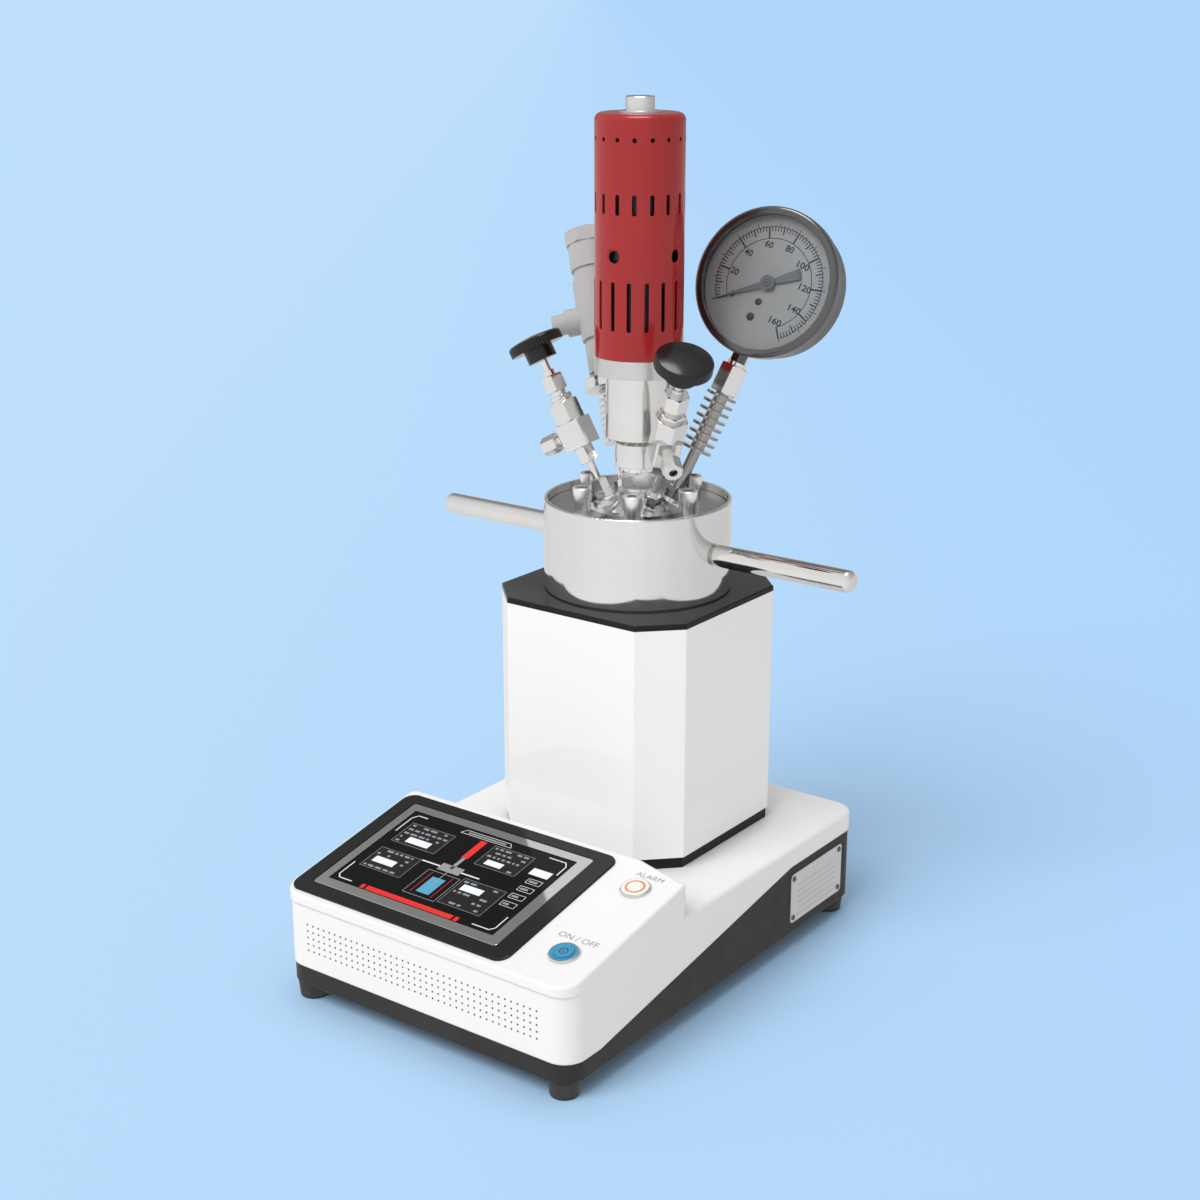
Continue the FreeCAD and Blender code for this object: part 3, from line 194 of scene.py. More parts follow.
# Bench top.
# A pale sheet far wider than the view, coloured for the eye and neutral for the light it throws back. The
# colour it shows is painted darker toward the right of the view, a painted fall-off of the light from the left.
FLOOR_HALF = 200.0
NEUTRAL_FLOOR = (0.80, 0.80, 0.80)
FLOOR_TINT = (0.465, 0.668, 0.888)
FLOOR_TINT_SHADED = (0.392, 0.608, 0.866)
FLOOR_SHADE_FADE = 1.0                    # metres each way over which the painted fall-off changes the tint
FLOOR_SHADE_ALONG = (0.80, 0.60, 0.0)
MIX_FIRST, MIX_SECOND, MIX_RESULT = 6, 7, 2     # colour sockets of a Mix node
floor_mesh = bpy.data.meshes.new("bench_top")
floor_mesh.from_pydata(
    [(-FLOOR_HALF, -FLOOR_HALF, 0), (FLOOR_HALF, -FLOOR_HALF, 0), (FLOOR_HALF, FLOOR_HALF, 0),
     (-FLOOR_HALF, FLOOR_HALF, 0)], [], [(0, 1, 2, 3)])
floor = bpy.data.objects.new("bench_top", floor_mesh)
bpy.context.scene.collection.objects.link(floor)
floor_paint = bpy.data.materials.new("bench_top")
floor_paint.use_nodes = True
tree = floor_paint.node_tree
tree.nodes.clear()
out = tree.nodes.new("ShaderNodeOutputMaterial")
dull = tree.nodes.new("ShaderNodeBsdfDiffuse")
tint = tree.nodes.new("ShaderNodeMix")
tint.data_type = "RGBA"
tint.inputs[MIX_FIRST].default_value = (*NEUTRAL_FLOOR, 1)
# Painted fall-off of light: the colour seen darkens toward the right of the view.
painted_falloff = tree.nodes.new("ShaderNodeMix")
painted_falloff.data_type = "RGBA"
painted_falloff.inputs[MIX_FIRST].default_value = (*FLOOR_TINT, 1)
painted_falloff.inputs[MIX_SECOND].default_value = (*FLOOR_TINT_SHADED, 1)
spot = tree.nodes.new("ShaderNodeTexCoord")
across = tree.nodes.new("ShaderNodeVectorMath")
across.operation = "DOT_PRODUCT"
across.inputs[1].default_value = FLOOR_SHADE_ALONG
run = tree.nodes.new("ShaderNodeMapRange")
run.interpolation_type = "SMOOTHSTEP"
run.inputs["From Min"].default_value = -FLOOR_SHADE_FADE
run.inputs["From Max"].default_value = FLOOR_SHADE_FADE
tree.links.new(spot.outputs["Object"], across.inputs[0])
tree.links.new(across.outputs["Value"], run.inputs["Value"])
tree.links.new(run.outputs["Result"], painted_falloff.inputs[0])
tree.links.new(painted_falloff.outputs[MIX_RESULT], tint.inputs[MIX_SECOND])
tree.links.new(seen_directly(tree.nodes, tree.links), tint.inputs[0])
tree.links.new(tint.outputs[MIX_RESULT], dull.inputs["Color"])
tree.links.new(dull.outputs[0], out.inputs[0])
floor_mesh.materials.append(floor_paint)


# Tray and feet.
# The dark lower tray is bent and painted sheet with a fine satin texture, screwed up into the shell. Four
# black rubber feet are pushed into it.
MM = 0.001                  # sizes are written in millimetres, and the frame is in metres
TRAY_GREY = (0.024, 0.024, 0.0245)
TRAY_LIGHT = (0.035, 0.035, 0.0355)
RUBBER = (0.020, 0.020, 0.021)
RUBBER_DUSTY = (0.034, 0.034, 0.034)
TONE_CONTRAST = 1.6         # of the slow change between a surface's two tones
WIPE_CONTRAST = 2.4         # of the smaller marks that change its roughness
WIPE_FINER = 3.7
COAT_ROUGH = 0.05
RELIEF_DEPTH = 0.0001
NOISE_MIDDLE = 0.5
EDGE_WEAR_AND_HIGHLIGHT_AGREEMENT = 0.75       # of the rounded with the true normal, where an edge is painted lighter, as wear and as a painted highlight


def shader_group(name, inputs, outputs):
    """Empty node group with the named sockets; returns the tree, its input node and its output node."""
    group = bpy.data.node_groups.new(name, "ShaderNodeTree")
    for label, kind, value in inputs:
        socket = group.interface.new_socket(label, in_out="INPUT", socket_type=kind)
        socket.default_value = value
    for label, kind in outputs:
        group.interface.new_socket(label, in_out="OUTPUT", socket_type=kind)
    start = group.nodes.new("NodeGroupInput")
    end = group.nodes.new("NodeGroupOutput")
    return group, start, end


# Cloudy change of tone over a surface, 0 to 1
cloud, start, end = shader_group(
    "cloudy_tone", [("Scale", "NodeSocketFloat", 20.0), ("Contrast", "NodeSocketFloat", 1.0)],
    [("Mask", "NodeSocketFloat")])
place = cloud.nodes.new("ShaderNodeTexCoord")
noise = cloud.nodes.new("ShaderNodeTexNoise")
noise.inputs["Detail"].default_value = 4
spread = cloud.nodes.new("ShaderNodeMath")
spread.operation = "MULTIPLY_ADD"
centre = cloud.nodes.new("ShaderNodeMath")
centre.operation = "SUBTRACT"
centre.inputs[1].default_value = NOISE_MIDDLE
cloud.links.new(place.outputs["Object"], noise.inputs["Vector"])
cloud.links.new(start.outputs["Scale"], noise.inputs["Scale"])
cloud.links.new(noise.outputs["Fac"], centre.inputs[0])
cloud.links.new(centre.outputs[0], spread.inputs[0])
cloud.links.new(start.outputs["Contrast"], spread.inputs[1])
spread.inputs[2].default_value = NOISE_MIDDLE
spread.use_clamp = True
cloud.links.new(spread.outputs[0], end.inputs["Mask"])

# Rounded look of a hard edge, and a mask of where the edge is
edge, start, end = shader_group(
    "soft_edge", [("Radius", "NodeSocketFloat", 0.0004)],
    [("Normal", "NodeSocketVector"), ("Edge", "NodeSocketFloat")])
rounding = edge.nodes.new("ShaderNodeBevel")
rounding.samples = 4
shape = edge.nodes.new("ShaderNodeNewGeometry")
agree = edge.nodes.new("ShaderNodeVectorMath")
agree.operation = "DOT_PRODUCT"
away = edge.nodes.new("ShaderNodeMapRange")
away.inputs["From Min"].default_value = 1.0
away.inputs["From Max"].default_value = EDGE_WEAR_AND_HIGHLIGHT_AGREEMENT
edge.links.new(start.outputs["Radius"], rounding.inputs["Radius"])
edge.links.new(rounding.outputs["Normal"], agree.inputs[0])
edge.links.new(shape.outputs["Normal"], agree.inputs[1])
edge.links.new(agree.outputs["Value"], away.inputs["Value"])
edge.links.new(rounding.outputs["Normal"], end.inputs["Normal"])
edge.links.new(away.outputs["Result"], end.inputs["Edge"])

# Fine lines left by a tool along one axis
lines, start, end = shader_group(
    "tool_lines", [("Axis", "NodeSocketVector", (0, 0, 1)), ("Lines per metre", "NodeSocketFloat", 2000.0)],
    [("Height", "NodeSocketFloat")])
place = lines.nodes.new("ShaderNodeTexCoord")
along = lines.nodes.new("ShaderNodeVectorMath")
along.operation = "DOT_PRODUCT"
noise = lines.nodes.new("ShaderNodeTexNoise")
noise.noise_dimensions = "1D"
noise.inputs["Detail"].default_value = 3
lines.links.new(place.outputs["Object"], along.inputs[0])
lines.links.new(start.outputs["Axis"], along.inputs[1])
lines.links.new(along.outputs["Value"], noise.inputs["W"])
lines.links.new(start.outputs["Lines per metre"], noise.inputs["Scale"])
lines.links.new(noise.outputs["Fac"], end.inputs["Height"])

# Small even grain of paint, rubber or a moulding
grain, start, end = shader_group(
    "fine_grain", [("Scale", "NodeSocketFloat", 900.0)], [("Height", "NodeSocketFloat")])
place = grain.nodes.new("ShaderNodeTexCoord")
noise = grain.nodes.new("ShaderNodeTexNoise")
noise.inputs["Detail"].default_value = 2
grain.links.new(place.outputs["Object"], noise.inputs["Vector"])
grain.links.new(start.outputs["Scale"], noise.inputs["Scale"])
grain.links.new(noise.outputs["Fac"], end.inputs["Height"])


def use_group(tree, group, **values):
    """Places a node group in a material with its own values."""
    node = tree.nodes.new("ShaderNodeGroup")
    node.node_tree = group
    for label, value in values.items():
        node.inputs[label.replace("_", " ")].default_value = value
    return node


def finish(name, colour, second, rough, rough_second, cloud_scale=18.0, edge_mm=0.4, metal=0.0, coat=0.0,
           grain_scale=900.0, line_axis=None, lines_per_metre=2500.0, relief=0.02, edge_wear_and_highlight_colour=None, gloss=0.5):
    """Surface with two close tones, uneven roughness, softened edges and a grain or tool lines."""
    material = bpy.data.materials.new(name)
    material.use_nodes = True
    tree = material.node_tree
    body = tree.nodes["Principled BSDF"]
    body.inputs["Metallic"].default_value = metal
    body.inputs["Coat Weight"].default_value = coat
    body.inputs["Coat Roughness"].default_value = COAT_ROUGH
    body.inputs["Specular IOR Level"].default_value = gloss
    tone = use_group(tree, cloud, Scale=cloud_scale, Contrast=TONE_CONTRAST)
    mix = tree.nodes.new("ShaderNodeMix")
    mix.data_type = "RGBA"
    mix.inputs[MIX_FIRST].default_value = (*colour, 1)
    mix.inputs[MIX_SECOND].default_value = (*second, 1)
    tree.links.new(tone.outputs["Mask"], mix.inputs[0])
    marks = use_group(tree, cloud, Scale=cloud_scale * WIPE_FINER, Contrast=WIPE_CONTRAST)
    wipe = tree.nodes.new("ShaderNodeMapRange")
    wipe.inputs["To Min"].default_value = rough
    wipe.inputs["To Max"].default_value = rough_second
    tree.links.new(marks.outputs["Mask"], wipe.inputs["Value"])
    tree.links.new(wipe.outputs["Result"], body.inputs["Roughness"])
    corner = use_group(tree, edge, Radius=edge_mm * MM)
    bump = tree.nodes.new("ShaderNodeBump")
    bump.inputs["Distance"].default_value = RELIEF_DEPTH
    bump.inputs["Strength"].default_value = relief
    tree.links.new(corner.outputs["Normal"], bump.inputs["Normal"])
    if line_axis is None:
        small = use_group(tree, grain, Scale=grain_scale)
    else:
        small = use_group(tree, lines, Axis=line_axis, Lines_per_metre=lines_per_metre)
    tree.links.new(small.outputs["Height"], bump.inputs["Height"])
    tree.links.new(bump.outputs["Normal"], body.inputs["Normal"])
    colour_out = mix.outputs[MIX_RESULT]
    # Edges are painted lighter by this colour: partly wear, partly a painted highlight on the rounded edge.
    if edge_wear_and_highlight_colour is not None:
        edge_wear_and_highlight = tree.nodes.new("ShaderNodeMix")
        edge_wear_and_highlight.data_type = "RGBA"
        edge_wear_and_highlight.inputs[MIX_SECOND].default_value = (*edge_wear_and_highlight_colour, 1)
        tree.links.new(corner.outputs["Edge"], edge_wear_and_highlight.inputs[0])
        tree.links.new(colour_out, edge_wear_and_highlight.inputs[MIX_FIRST])
        colour_out = edge_wear_and_highlight.outputs[MIX_RESULT]
    tree.links.new(colour_out, body.inputs["Base Color"])
    return material


def dress(material, *nodes):
    """Gives carried-over nodes this material."""
    for name in nodes:
        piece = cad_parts[name]
        if not piece.material_slots:
            piece.data.materials.append(material)
        for slot in piece.material_slots:
            slot.material = material


# Its edges are painted lighter, as wear and as a painted highlight.
dress(finish("tray_paint", TRAY_GREY, TRAY_LIGHT, 0.42, 0.52, grain_scale=1800.0, relief=0.25, edge_mm=0.8,
             edge_wear_and_highlight_colour=(0.075, 0.075, 0.078), gloss=0.15), "chassis_tray")
dress(finish("foot_rubber", RUBBER, RUBBER_DUSTY, 0.62, 0.78, cloud_scale=60.0, grain_scale=2500.0,
             relief=0.4, edge_mm=0.8), "feet")

# Shell with its console.
# White gloss moulding, made in one with its sloping console, rounded at the deck and stepped in under the
# front lip. It stands on the tray.
SHELL_WHITE = (0.835, 0.835, 0.838)
SHELL_WHITE_SECOND = (0.85, 0.85, 0.852)
shell_white = finish("shell_white", SHELL_WHITE, SHELL_WHITE_SECOND, 0.24, 0.27, cloud_scale=9.0,
                     grain_scale=1400.0, relief=0.03, edge_mm=1.6)
dress(shell_white, "upper_shell")

# Air holes in the shell's front wall.
# Five level rows of small drilled holes, drawn as flat discs of painted shade, each with a thin grey rim of
# painted shade for the hole's wall.
VENT_Y = -193.75
VENT_X0 = -110.0
VENT_X1 = 107.0
VENT_COLUMNS = 40
VENT_ROWS = 5
VENT_TOP_Z = 66.0
VENT_PITCH_Z = 5.3
VENT_R = 0.72
VENT_RIM = 0.18
VENT_LIFT = 0.03
HOLE_SIDES = 14
HOLE_SHADE = (0.012, 0.012, 0.012)
HOLE_SHADE_SECOND = (0.03, 0.03, 0.03)


def add_piece(name, bm, material, body="base"):
    """Turns the mesh into a piece that rides on a body."""
    mesh = bpy.data.meshes.new(name)
    bm.to_mesh(mesh)
    bm.free()
    mesh.materials.append(material)
    piece = bpy.data.objects.new(name, mesh)
    bpy.context.scene.collection.objects.link(piece)
    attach(piece, body)
    return piece


def disc(bm, at, r, sides=HOLE_SIDES):
    """Flat disc in the XY plane of a placement matrix."""
    ring = []
    for k in range(sides):
        a = 2 * math.pi * k / sides
        ring.append(bm.verts.new(at @ Vector((r * math.cos(a), r * math.sin(a), 0))))
    bm.faces.new(ring)


def flat_ring(bm, at, r0, r1, sides=HOLE_SIDES):
    """Flat ring between two radii in the XY plane of a placement matrix."""
    inner = []
    outer = []
    for k in range(sides):
        a = 2 * math.pi * k / sides
        inner.append(bm.verts.new(at @ Vector((r0 * math.cos(a), r0 * math.sin(a), 0))))
        outer.append(bm.verts.new(at @ Vector((r1 * math.cos(a), r1 * math.sin(a), 0))))
    for k in range(sides):
        n = (k + 1) % sides
        bm.faces.new((inner[k], outer[k], outer[n], inner[n]))


front_wall = (Matrix.Translation((0, (VENT_Y - VENT_LIFT) * MM, 0))
              @ Matrix.Rotation(math.radians(90), 4, "X"))
hole_mesh = bmesh.new()
rim_mesh = bmesh.new()
for row in range(VENT_ROWS):
    for column in range(VENT_COLUMNS):
        x = VENT_X0 + (VENT_X1 - VENT_X0) * column / (VENT_COLUMNS - 1)
        z = VENT_TOP_Z - VENT_PITCH_Z * row
        at = front_wall @ Matrix.Translation((x * MM, z * MM, 0))
        disc(hole_mesh, at, VENT_R * MM)
        flat_ring(rim_mesh, at, VENT_R * MM, (VENT_R + VENT_RIM) * MM)
# Each hole is a flat disc of painted shade, and its grey rim is a ring of painted shade for the hole's wall.
hole_shade = finish("painted_hole_shade", HOLE_SHADE, HOLE_SHADE_SECOND, 0.8, 0.9, edge_mm=0.05)
add_piece("vent_holes", hole_mesh, hole_shade)
rim_shade = finish("vent_rim", (0.45, 0.45, 0.45), (0.6, 0.6, 0.6), 0.4, 0.5, edge_mm=0.05)
add_piece("vent_rims", rim_mesh, rim_shade)

# Ledge behind the console.
# The white console top runs on behind the touch panel as a level-sided ledge that hides the furnace's plinth
# from in front. It is moulded with the shell, and cut back at its right end to clear the furnace's corner.
CONSOLE_Y = -195.15
CONSOLE_Z = 89.0
CONSOLE_RISE = 27.0
CONSOLE_RUN = 139.15
LEDGE_LOW_Z = 89.2
LEDGE_ROUND = 1.6
LEDGE_LIFT = 0.03
LEDGE_PLAN = ((-135.3, 138.5), (135.3, 138.5), (135.3, 141.1), (89.2, 153.1), (-130.0, 153.1),
              (-133.8, 151.5), (-135.3, 147.8))
console = (Matrix.Translation((0, CONSOLE_Y * MM, CONSOLE_Z * MM))
           @ Matrix.Rotation(math.atan2(CONSOLE_RISE, CONSOLE_RUN), 4, "X"))
ledge = bmesh.new()
ledge_top = [ledge.verts.new(console @ Vector((u * MM, v * MM, LEDGE_LIFT * MM))) for u, v in LEDGE_PLAN]
ledge_low = [ledge.verts.new((corner.co.x, corner.co.y, LEDGE_LOW_Z * MM)) for corner in ledge_top]
ledge.faces.new(ledge_top)
ledge.faces.new(ledge_low[::-1])
for k in range(len(ledge_top)):
    n = (k + 1) % len(ledge_top)
    ledge.faces.new((ledge_top[k], ledge_low[k], ledge_low[n], ledge_top[n]))
ledge.edges.ensure_lookup_table()
outer_edges = [ledge.edges.get((ledge_top[k], ledge_top[k + 1])) for k in range(1, len(ledge_top) - 1)]
outer_edges.append(ledge.edges.get((ledge_top[-1], ledge_top[0])))
bmesh.ops.bevel(ledge, geom=outer_edges, offset=LEDGE_ROUND * MM, segments=4, profile=0.5, affect="EDGES")
bmesh.ops.recalc_face_normals(ledge, faces=ledge.faces)
add_piece("console_ledge", ledge, shell_white)

# Words beside the two controls.
# ON/OFF and ALARM are printed in thin grey ink on the sloping console, each just behind its control.
INK_GREY = (0.22, 0.22, 0.225)
PRINT_LIFT = 0.04
# The word, its middle across and along the console, its height and its width
CONSOLE_WORDS = (("ON / OFF", 105.5, 52.5, 5.6, 34.0), ("ALARM", 107.5, 137.4, 5.0, 23.5))


def lettering(bm, text, x, y, height, width, at, weight=0.0):
    """Flat letters centred at x, y, of the given height and width in mm, thickened by weight."""
    curve = bpy.data.curves.new("letters", "FONT")
    curve.body = text
    curve.align_x = "CENTER"
    curve.align_y = "CENTER"
    curve.offset = weight
    curve.resolution_u = 3
    holder = bpy.data.objects.new("letters", curve)
    bpy.context.scene.collection.objects.link(holder)
    bpy.context.view_layer.update()
    mesh = bpy.data.meshes.new_from_object(holder)
    xs = [v.co.x for v in mesh.vertices]
    ys = [v.co.y for v in mesh.vertices]
    sx = width / (max(xs) - min(xs))
    sy = height / (max(ys) - min(ys))
    middle = Matrix.Translation((-(max(xs) + min(xs)) / 2, -(max(ys) + min(ys)) / 2, 0))
    size = Matrix.Diagonal((sx * MM, sy * MM, 1, 1))
    mesh.transform(at @ Matrix.Translation((x * MM, y * MM, 0)) @ size @ middle)
    bm.from_mesh(mesh)
    bpy.data.objects.remove(holder)
    bpy.data.meshes.remove(mesh)
    bpy.data.curves.remove(curve)


console_print = console @ Matrix.Translation((0, 0, PRINT_LIFT * MM))
words = bmesh.new()
for word, u, v, height, width in CONSOLE_WORDS:
    lettering(words, word, u, v, height, width, console_print)
add_piece("console_words", words, finish("print_grey", INK_GREY, (0.28, 0.28, 0.285), 0.4, 0.5, edge_mm=0.02))

# Touch panel.
# Black gloss bezel with a grey frame, and a dark glass that shows boxes, brackets, a small picture of the
# reactor and a red bar in light of its own.
BEZEL_BLACK = (0.014, 0.014, 0.0135)
FRAME_GREY = (0.60, 0.60, 0.595)
FRAME_LIGHT = (0.66, 0.66, 0.655)
GLASS_BLACK = (0.006, 0.006, 0.0065)
PANEL_FLOOR = -1.0       # heights from the console top
BEZEL_FACE = 1.6
FRAME_FACE = 1.2
LCD_FACE = 0.9
BEZEL_PLAN = (-132.0, 74.7, 5.0, 146.4)      # left, right, near and far sides on the console
FRAME_PLAN = (-118.7, 58.7, 17.5, 136.2)
LCD_PLAN = (-110.5, 48.5, 26.7, 127.8)
BEZEL_CORNER = 10.0
FRAME_CORNER = 3.0
LCD_CORNER = 0.8
CORNER_STEPS = 8
TIGHTEST_CORNER = 0.2
PANEL_EDGE = 0.8         # softened outer edge, and the shoulder half way round it
PANEL_SHOULDER = 0.24
LCD_W = LCD_PLAN[1] - LCD_PLAN[0]
LCD_L = LCD_PLAN[3] - LCD_PLAN[2]
LCD_U = (LCD_PLAN[0] + LCD_PLAN[1]) / 2
LCD_V = (LCD_PLAN[2] + LCD_PLAN[3]) / 2


def panel_loop(bm, plan, corner, inset, w):
    """Loop of points round a rectangle with rounded corners, at height w over the console."""
    left, right, near, far = plan
    r = max(corner - inset, TIGHTEST_CORNER)
    loop = []
    for cu, cv, start in ((right, far, 0), (left, far, 90), (left, near, 180), (right, near, 270)):
        su = -1 if cu == right else 1
        sv = -1 if cv == far else 1
        for k in range(CORNER_STEPS + 1):
            a = math.radians(start + 90 * k / CORNER_STEPS)
            u = cu + su * (inset + r) + r * math.cos(a)
            v = cv + sv * (inset + r) + r * math.sin(a)
            loop.append(bm.verts.new(console @ Vector((u * MM, v * MM, w * MM))))
    return loop


def bridge(bm, first, second):
    """Strip of faces between two loops of as many points."""
    for k in range(len(first)):
        n = (k + 1) % len(first)
        bm.faces.new((first[k], first[n], second[n], second[k]))


def panel_part(name, material, plan, corner, face, node, hole=None, hole_corner=0.0):
    """Plate or open frame of the panel, with a softened outer edge, that stands for its plain node."""
    bm = bmesh.new()
    base = panel_loop(bm, plan, corner, 0.0, PANEL_FLOOR)
    side = panel_loop(bm, plan, corner, 0.0, face - PANEL_EDGE)
    shoulder = panel_loop(bm, plan, corner, PANEL_SHOULDER, face - PANEL_SHOULDER)
    rim = panel_loop(bm, plan, corner, PANEL_EDGE, face)
    for low, high in ((base, side), (side, shoulder), (shoulder, rim)):
        bridge(bm, low, high)
    if hole:
        mouth = panel_loop(bm, hole, hole_corner, 0.0, face)
        well = panel_loop(bm, hole, hole_corner, 0.0, PANEL_FLOOR)
        bridge(bm, rim, mouth)
        bridge(bm, mouth, well)
        bridge(bm, well, base)
    else:
        bm.faces.new(rim)
        bm.faces.new(base[::-1])
    bmesh.ops.recalc_face_normals(bm, faces=bm.faces)
    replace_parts(add_piece(name, bm, material), node)


panel_part("touch_bezel", finish("bezel_black", BEZEL_BLACK, (0.018, 0.018, 0.0175), 0.14, 0.20, relief=0.02,
                                 edge_mm=0.3, gloss=0.2),
           BEZEL_PLAN, BEZEL_CORNER, BEZEL_FACE, "panel_bezel", FRAME_PLAN, FRAME_CORNER)
panel_part("touch_frame", finish("frame_grey", FRAME_GREY, FRAME_LIGHT, 0.06, 0.10, cloud_scale=7.0,
                                 metal=1.0, edge_mm=0.2),
           FRAME_PLAN, FRAME_CORNER, FRAME_FACE, "panel_frame", LCD_PLAN, LCD_CORNER)
panel_part("touch_glass", finish("screen_black", GLASS_BLACK, (0.008, 0.008, 0.009), 0.08, 0.12, edge_mm=0.1,
                                 gloss=0.09),
           LCD_PLAN, LCD_CORNER, LCD_FACE, "screen_glass")
LIGHT_UNEVEN = 0.9       # second tone of a lit field, as a share of its first


def glow(name, colour, level):
    """Lit field of the screen."""
    second = tuple(c * LIGHT_UNEVEN for c in colour)
    material = finish(name, colour, second, 0.2, 0.28, edge_mm=0.02, gloss=0.08)
    body = material.node_tree.nodes["Principled BSDF"]
    body.inputs["Emission Color"].default_value = (*colour, 1)
    body.inputs["Emission Strength"].default_value = level
    return material


screen = console @ Matrix.Translation((
    (LCD_U - LCD_W / 2) * MM, (LCD_V - LCD_L / 2) * MM, (LCD_FACE + PRINT_LIFT) * MM))


def field(bm, x0, y0, x1, y1, lift=0.0):
    """Filled box on the screen, in shares of its width and length."""
    corners = ((x0, y0), (x1, y0), (x1, y1), (x0, y1))
    bm.faces.new([bm.verts.new(screen @ Vector((x * LCD_W * MM, y * LCD_L * MM, lift * MM)))
                  for x, y in corners])


def stroke(bm, points, width, lift=0.0):
    """Line of the given width in mm through points given in shares of the screen."""
    for (xa, ya), (xb, yb) in zip(points, points[1:]):
        a = Vector((xa * LCD_W, ya * LCD_L))
        b = Vector((xb * LCD_W, yb * LCD_L))
        run = (b - a).normalized()
        side = Vector((-run.y, run.x)) * width / 2
        ends = (a - run * width / 2 - side, b + run * width / 2 - side,
                b + run * width / 2 + side, a - run * width / 2 + side)
        bm.faces.new([bm.verts.new(screen @ Vector((p.x * MM, p.y * MM, lift * MM))) for p in ends])


def outline(bm, x0, y0, x1, y1, width, lift=0.0):
    """Open box on the screen, in shares of its width and length."""
    stroke(bm, ((x0, y0), (x1, y0), (x1, y1), (x0, y1), (x0, y0)), width, lift)


white = bmesh.new()
grey = bmesh.new()
red = bmesh.new()
blue = bmesh.new()
dim = bmesh.new()
OVER = 0.01              # height of a light over the one that it lies on
# Corner brackets with cut corners, and the title box
BRACKETS = (((0.10, 0.955), (0.045, 0.955), (0.025, 0.91), (0.025, 0.72)),
            ((0.12, 0.045), (0.045, 0.045), (0.025, 0.08), (0.025, 0.25)),
            ((0.86, 0.955), (0.955, 0.955), (0.975, 0.91), (0.975, 0.80)),
            ((0.86, 0.045), (0.955, 0.045), (0.975, 0.08), (0.975, 0.22)))
BRACKET_W = 0.9
for bracket in BRACKETS:
    stroke(white, bracket, BRACKET_W)
stroke(white, ((0.33, 0.925), (0.35, 0.97), (0.62, 0.97), (0.64, 0.925), (0.33, 0.925)), 0.45)
field(grey, 0.37, 0.938, 0.60, 0.955)
# Groups of readings: outlined box, dashes for captions, and a white value field
groups = (
    (0.06, 0.60, 0.33, 0.86, 0.13, 0.63, 0.27, 0.70), (0.06, 0.24, 0.31, 0.50, 0.09, 0.32, 0.22, 0.39),
    (0.56, 0.64, 0.80, 0.90, 0.60, 0.67, 0.70, 0.73), (0.60, 0.14, 0.85, 0.46, 0.63, 0.33, 0.75, 0.40),
)
BOX_ROWS = 5
BOX_MARGIN = 0.015
DASH_SHORTEST, DASH_LONGEST = 0.012, 0.04
DASH_GAP = 0.012
DASH_HALF = 0.010
DASH_SHARE = 0.72        # of the places in a row that carry a dash
CLEAR_LEFT, CLEAR_RIGHT, CLEAR_ROW = 0.045, 0.01, 0.02      # kept free of dashes round a value field
rng = random.Random(7)
for gx0, gy0, gx1, gy1, vx0, vy0, vx1, vy1 in groups:
    field(dim, gx0, gy0, gx1, gy1)
    outline(grey, gx0, gy0, gx1, gy1, 0.35, OVER)
    field(white, vx0, vy0, vx1, vy1, 2 * OVER)
    step = (gy1 - gy0) / BOX_ROWS
    for line in range(BOX_ROWS):
        y = gy0 + step * (line + 0.5)
        x = gx0 + BOX_MARGIN
        while x < gx1 - 2 * BOX_MARGIN:
            run = rng.uniform(DASH_SHORTEST, DASH_LONGEST)
            hit = vx0 - CLEAR_LEFT < x < vx1 + CLEAR_RIGHT and vy0 - CLEAR_ROW < y < vy1 + CLEAR_ROW
            if not hit and rng.random() < DASH_SHARE:
                field(grey, x, y - DASH_HALF, min(x + run, gx1 - DASH_GAP), y + DASH_HALF, 2 * OVER)
            x += run + DASH_GAP
# Column of keys at the right, each with a dash for its caption
KEY_LEFT, KEY_RIGHT, KEY_H = 0.875, 0.955, 0.055
CAPTION_LEFT, CAPTION_LOW, CAPTION_HIGH = 0.885, 0.016, 0.038
field(white, 0.845, 0.72, KEY_RIGHT, 0.80)
for y, caption in ((0.62, 0.050), (0.52, 0.044), (0.42, 0.038), (0.32, 0.032)):
    outline(white, KEY_LEFT, y, KEY_RIGHT, y + KEY_H, 0.4)
    field(grey, CAPTION_LEFT, y + CAPTION_LOW, CAPTION_LEFT + caption, y + CAPTION_HIGH)
# Picture of the reactor: drive, clamp with its bars, furnace and the charge
field(red, 0.470, 0.66, 0.508, 0.905)
stroke(grey, ((0.489, 0.52), (0.489, 0.66)), 3.2)
field(grey, 0.425, 0.46, 0.555, 0.545)
for bar in (((0.318, 0.50), (0.422, 0.50)), ((0.558, 0.50), (0.66, 0.50))):
    stroke(white, bar, 1.3)
outline(grey, 0.395, 0.125, 0.585, 0.43, 0.5)
for x in (0.428, 0.552):
    stroke(red, ((x, 0.155), (x, 0.41)), 0.5, OVER)
field(blue, 0.452, 0.17, 0.53, 0.37)
stroke(grey, ((0.491, 0.19), (0.491, 0.46)), 0.8, 2 * OVER)
# Red bar along the lower edge with its end marks
for x0, x1 in ((0.222, 0.745), (0.187, 0.209), (0.758, 0.78)):
    field(red, x0, 0.012, x1, 0.060)
for name, lights, colour, strength in (("white", white, (0.80, 0.82, 0.84), 0.10),
                                       ("grey", grey, (0.30, 0.31, 0.32), 0.06),
                                       ("red", red, (0.72, 0.035, 0.030), 0.12),
                                       ("blue", blue, (0.09, 0.36, 0.52), 0.10),
                                       ("dim", dim, (0.022, 0.022, 0.024), 0.0)):
    add_piece("screen_" + name, lights, glow("light_" + name, colour, strength))

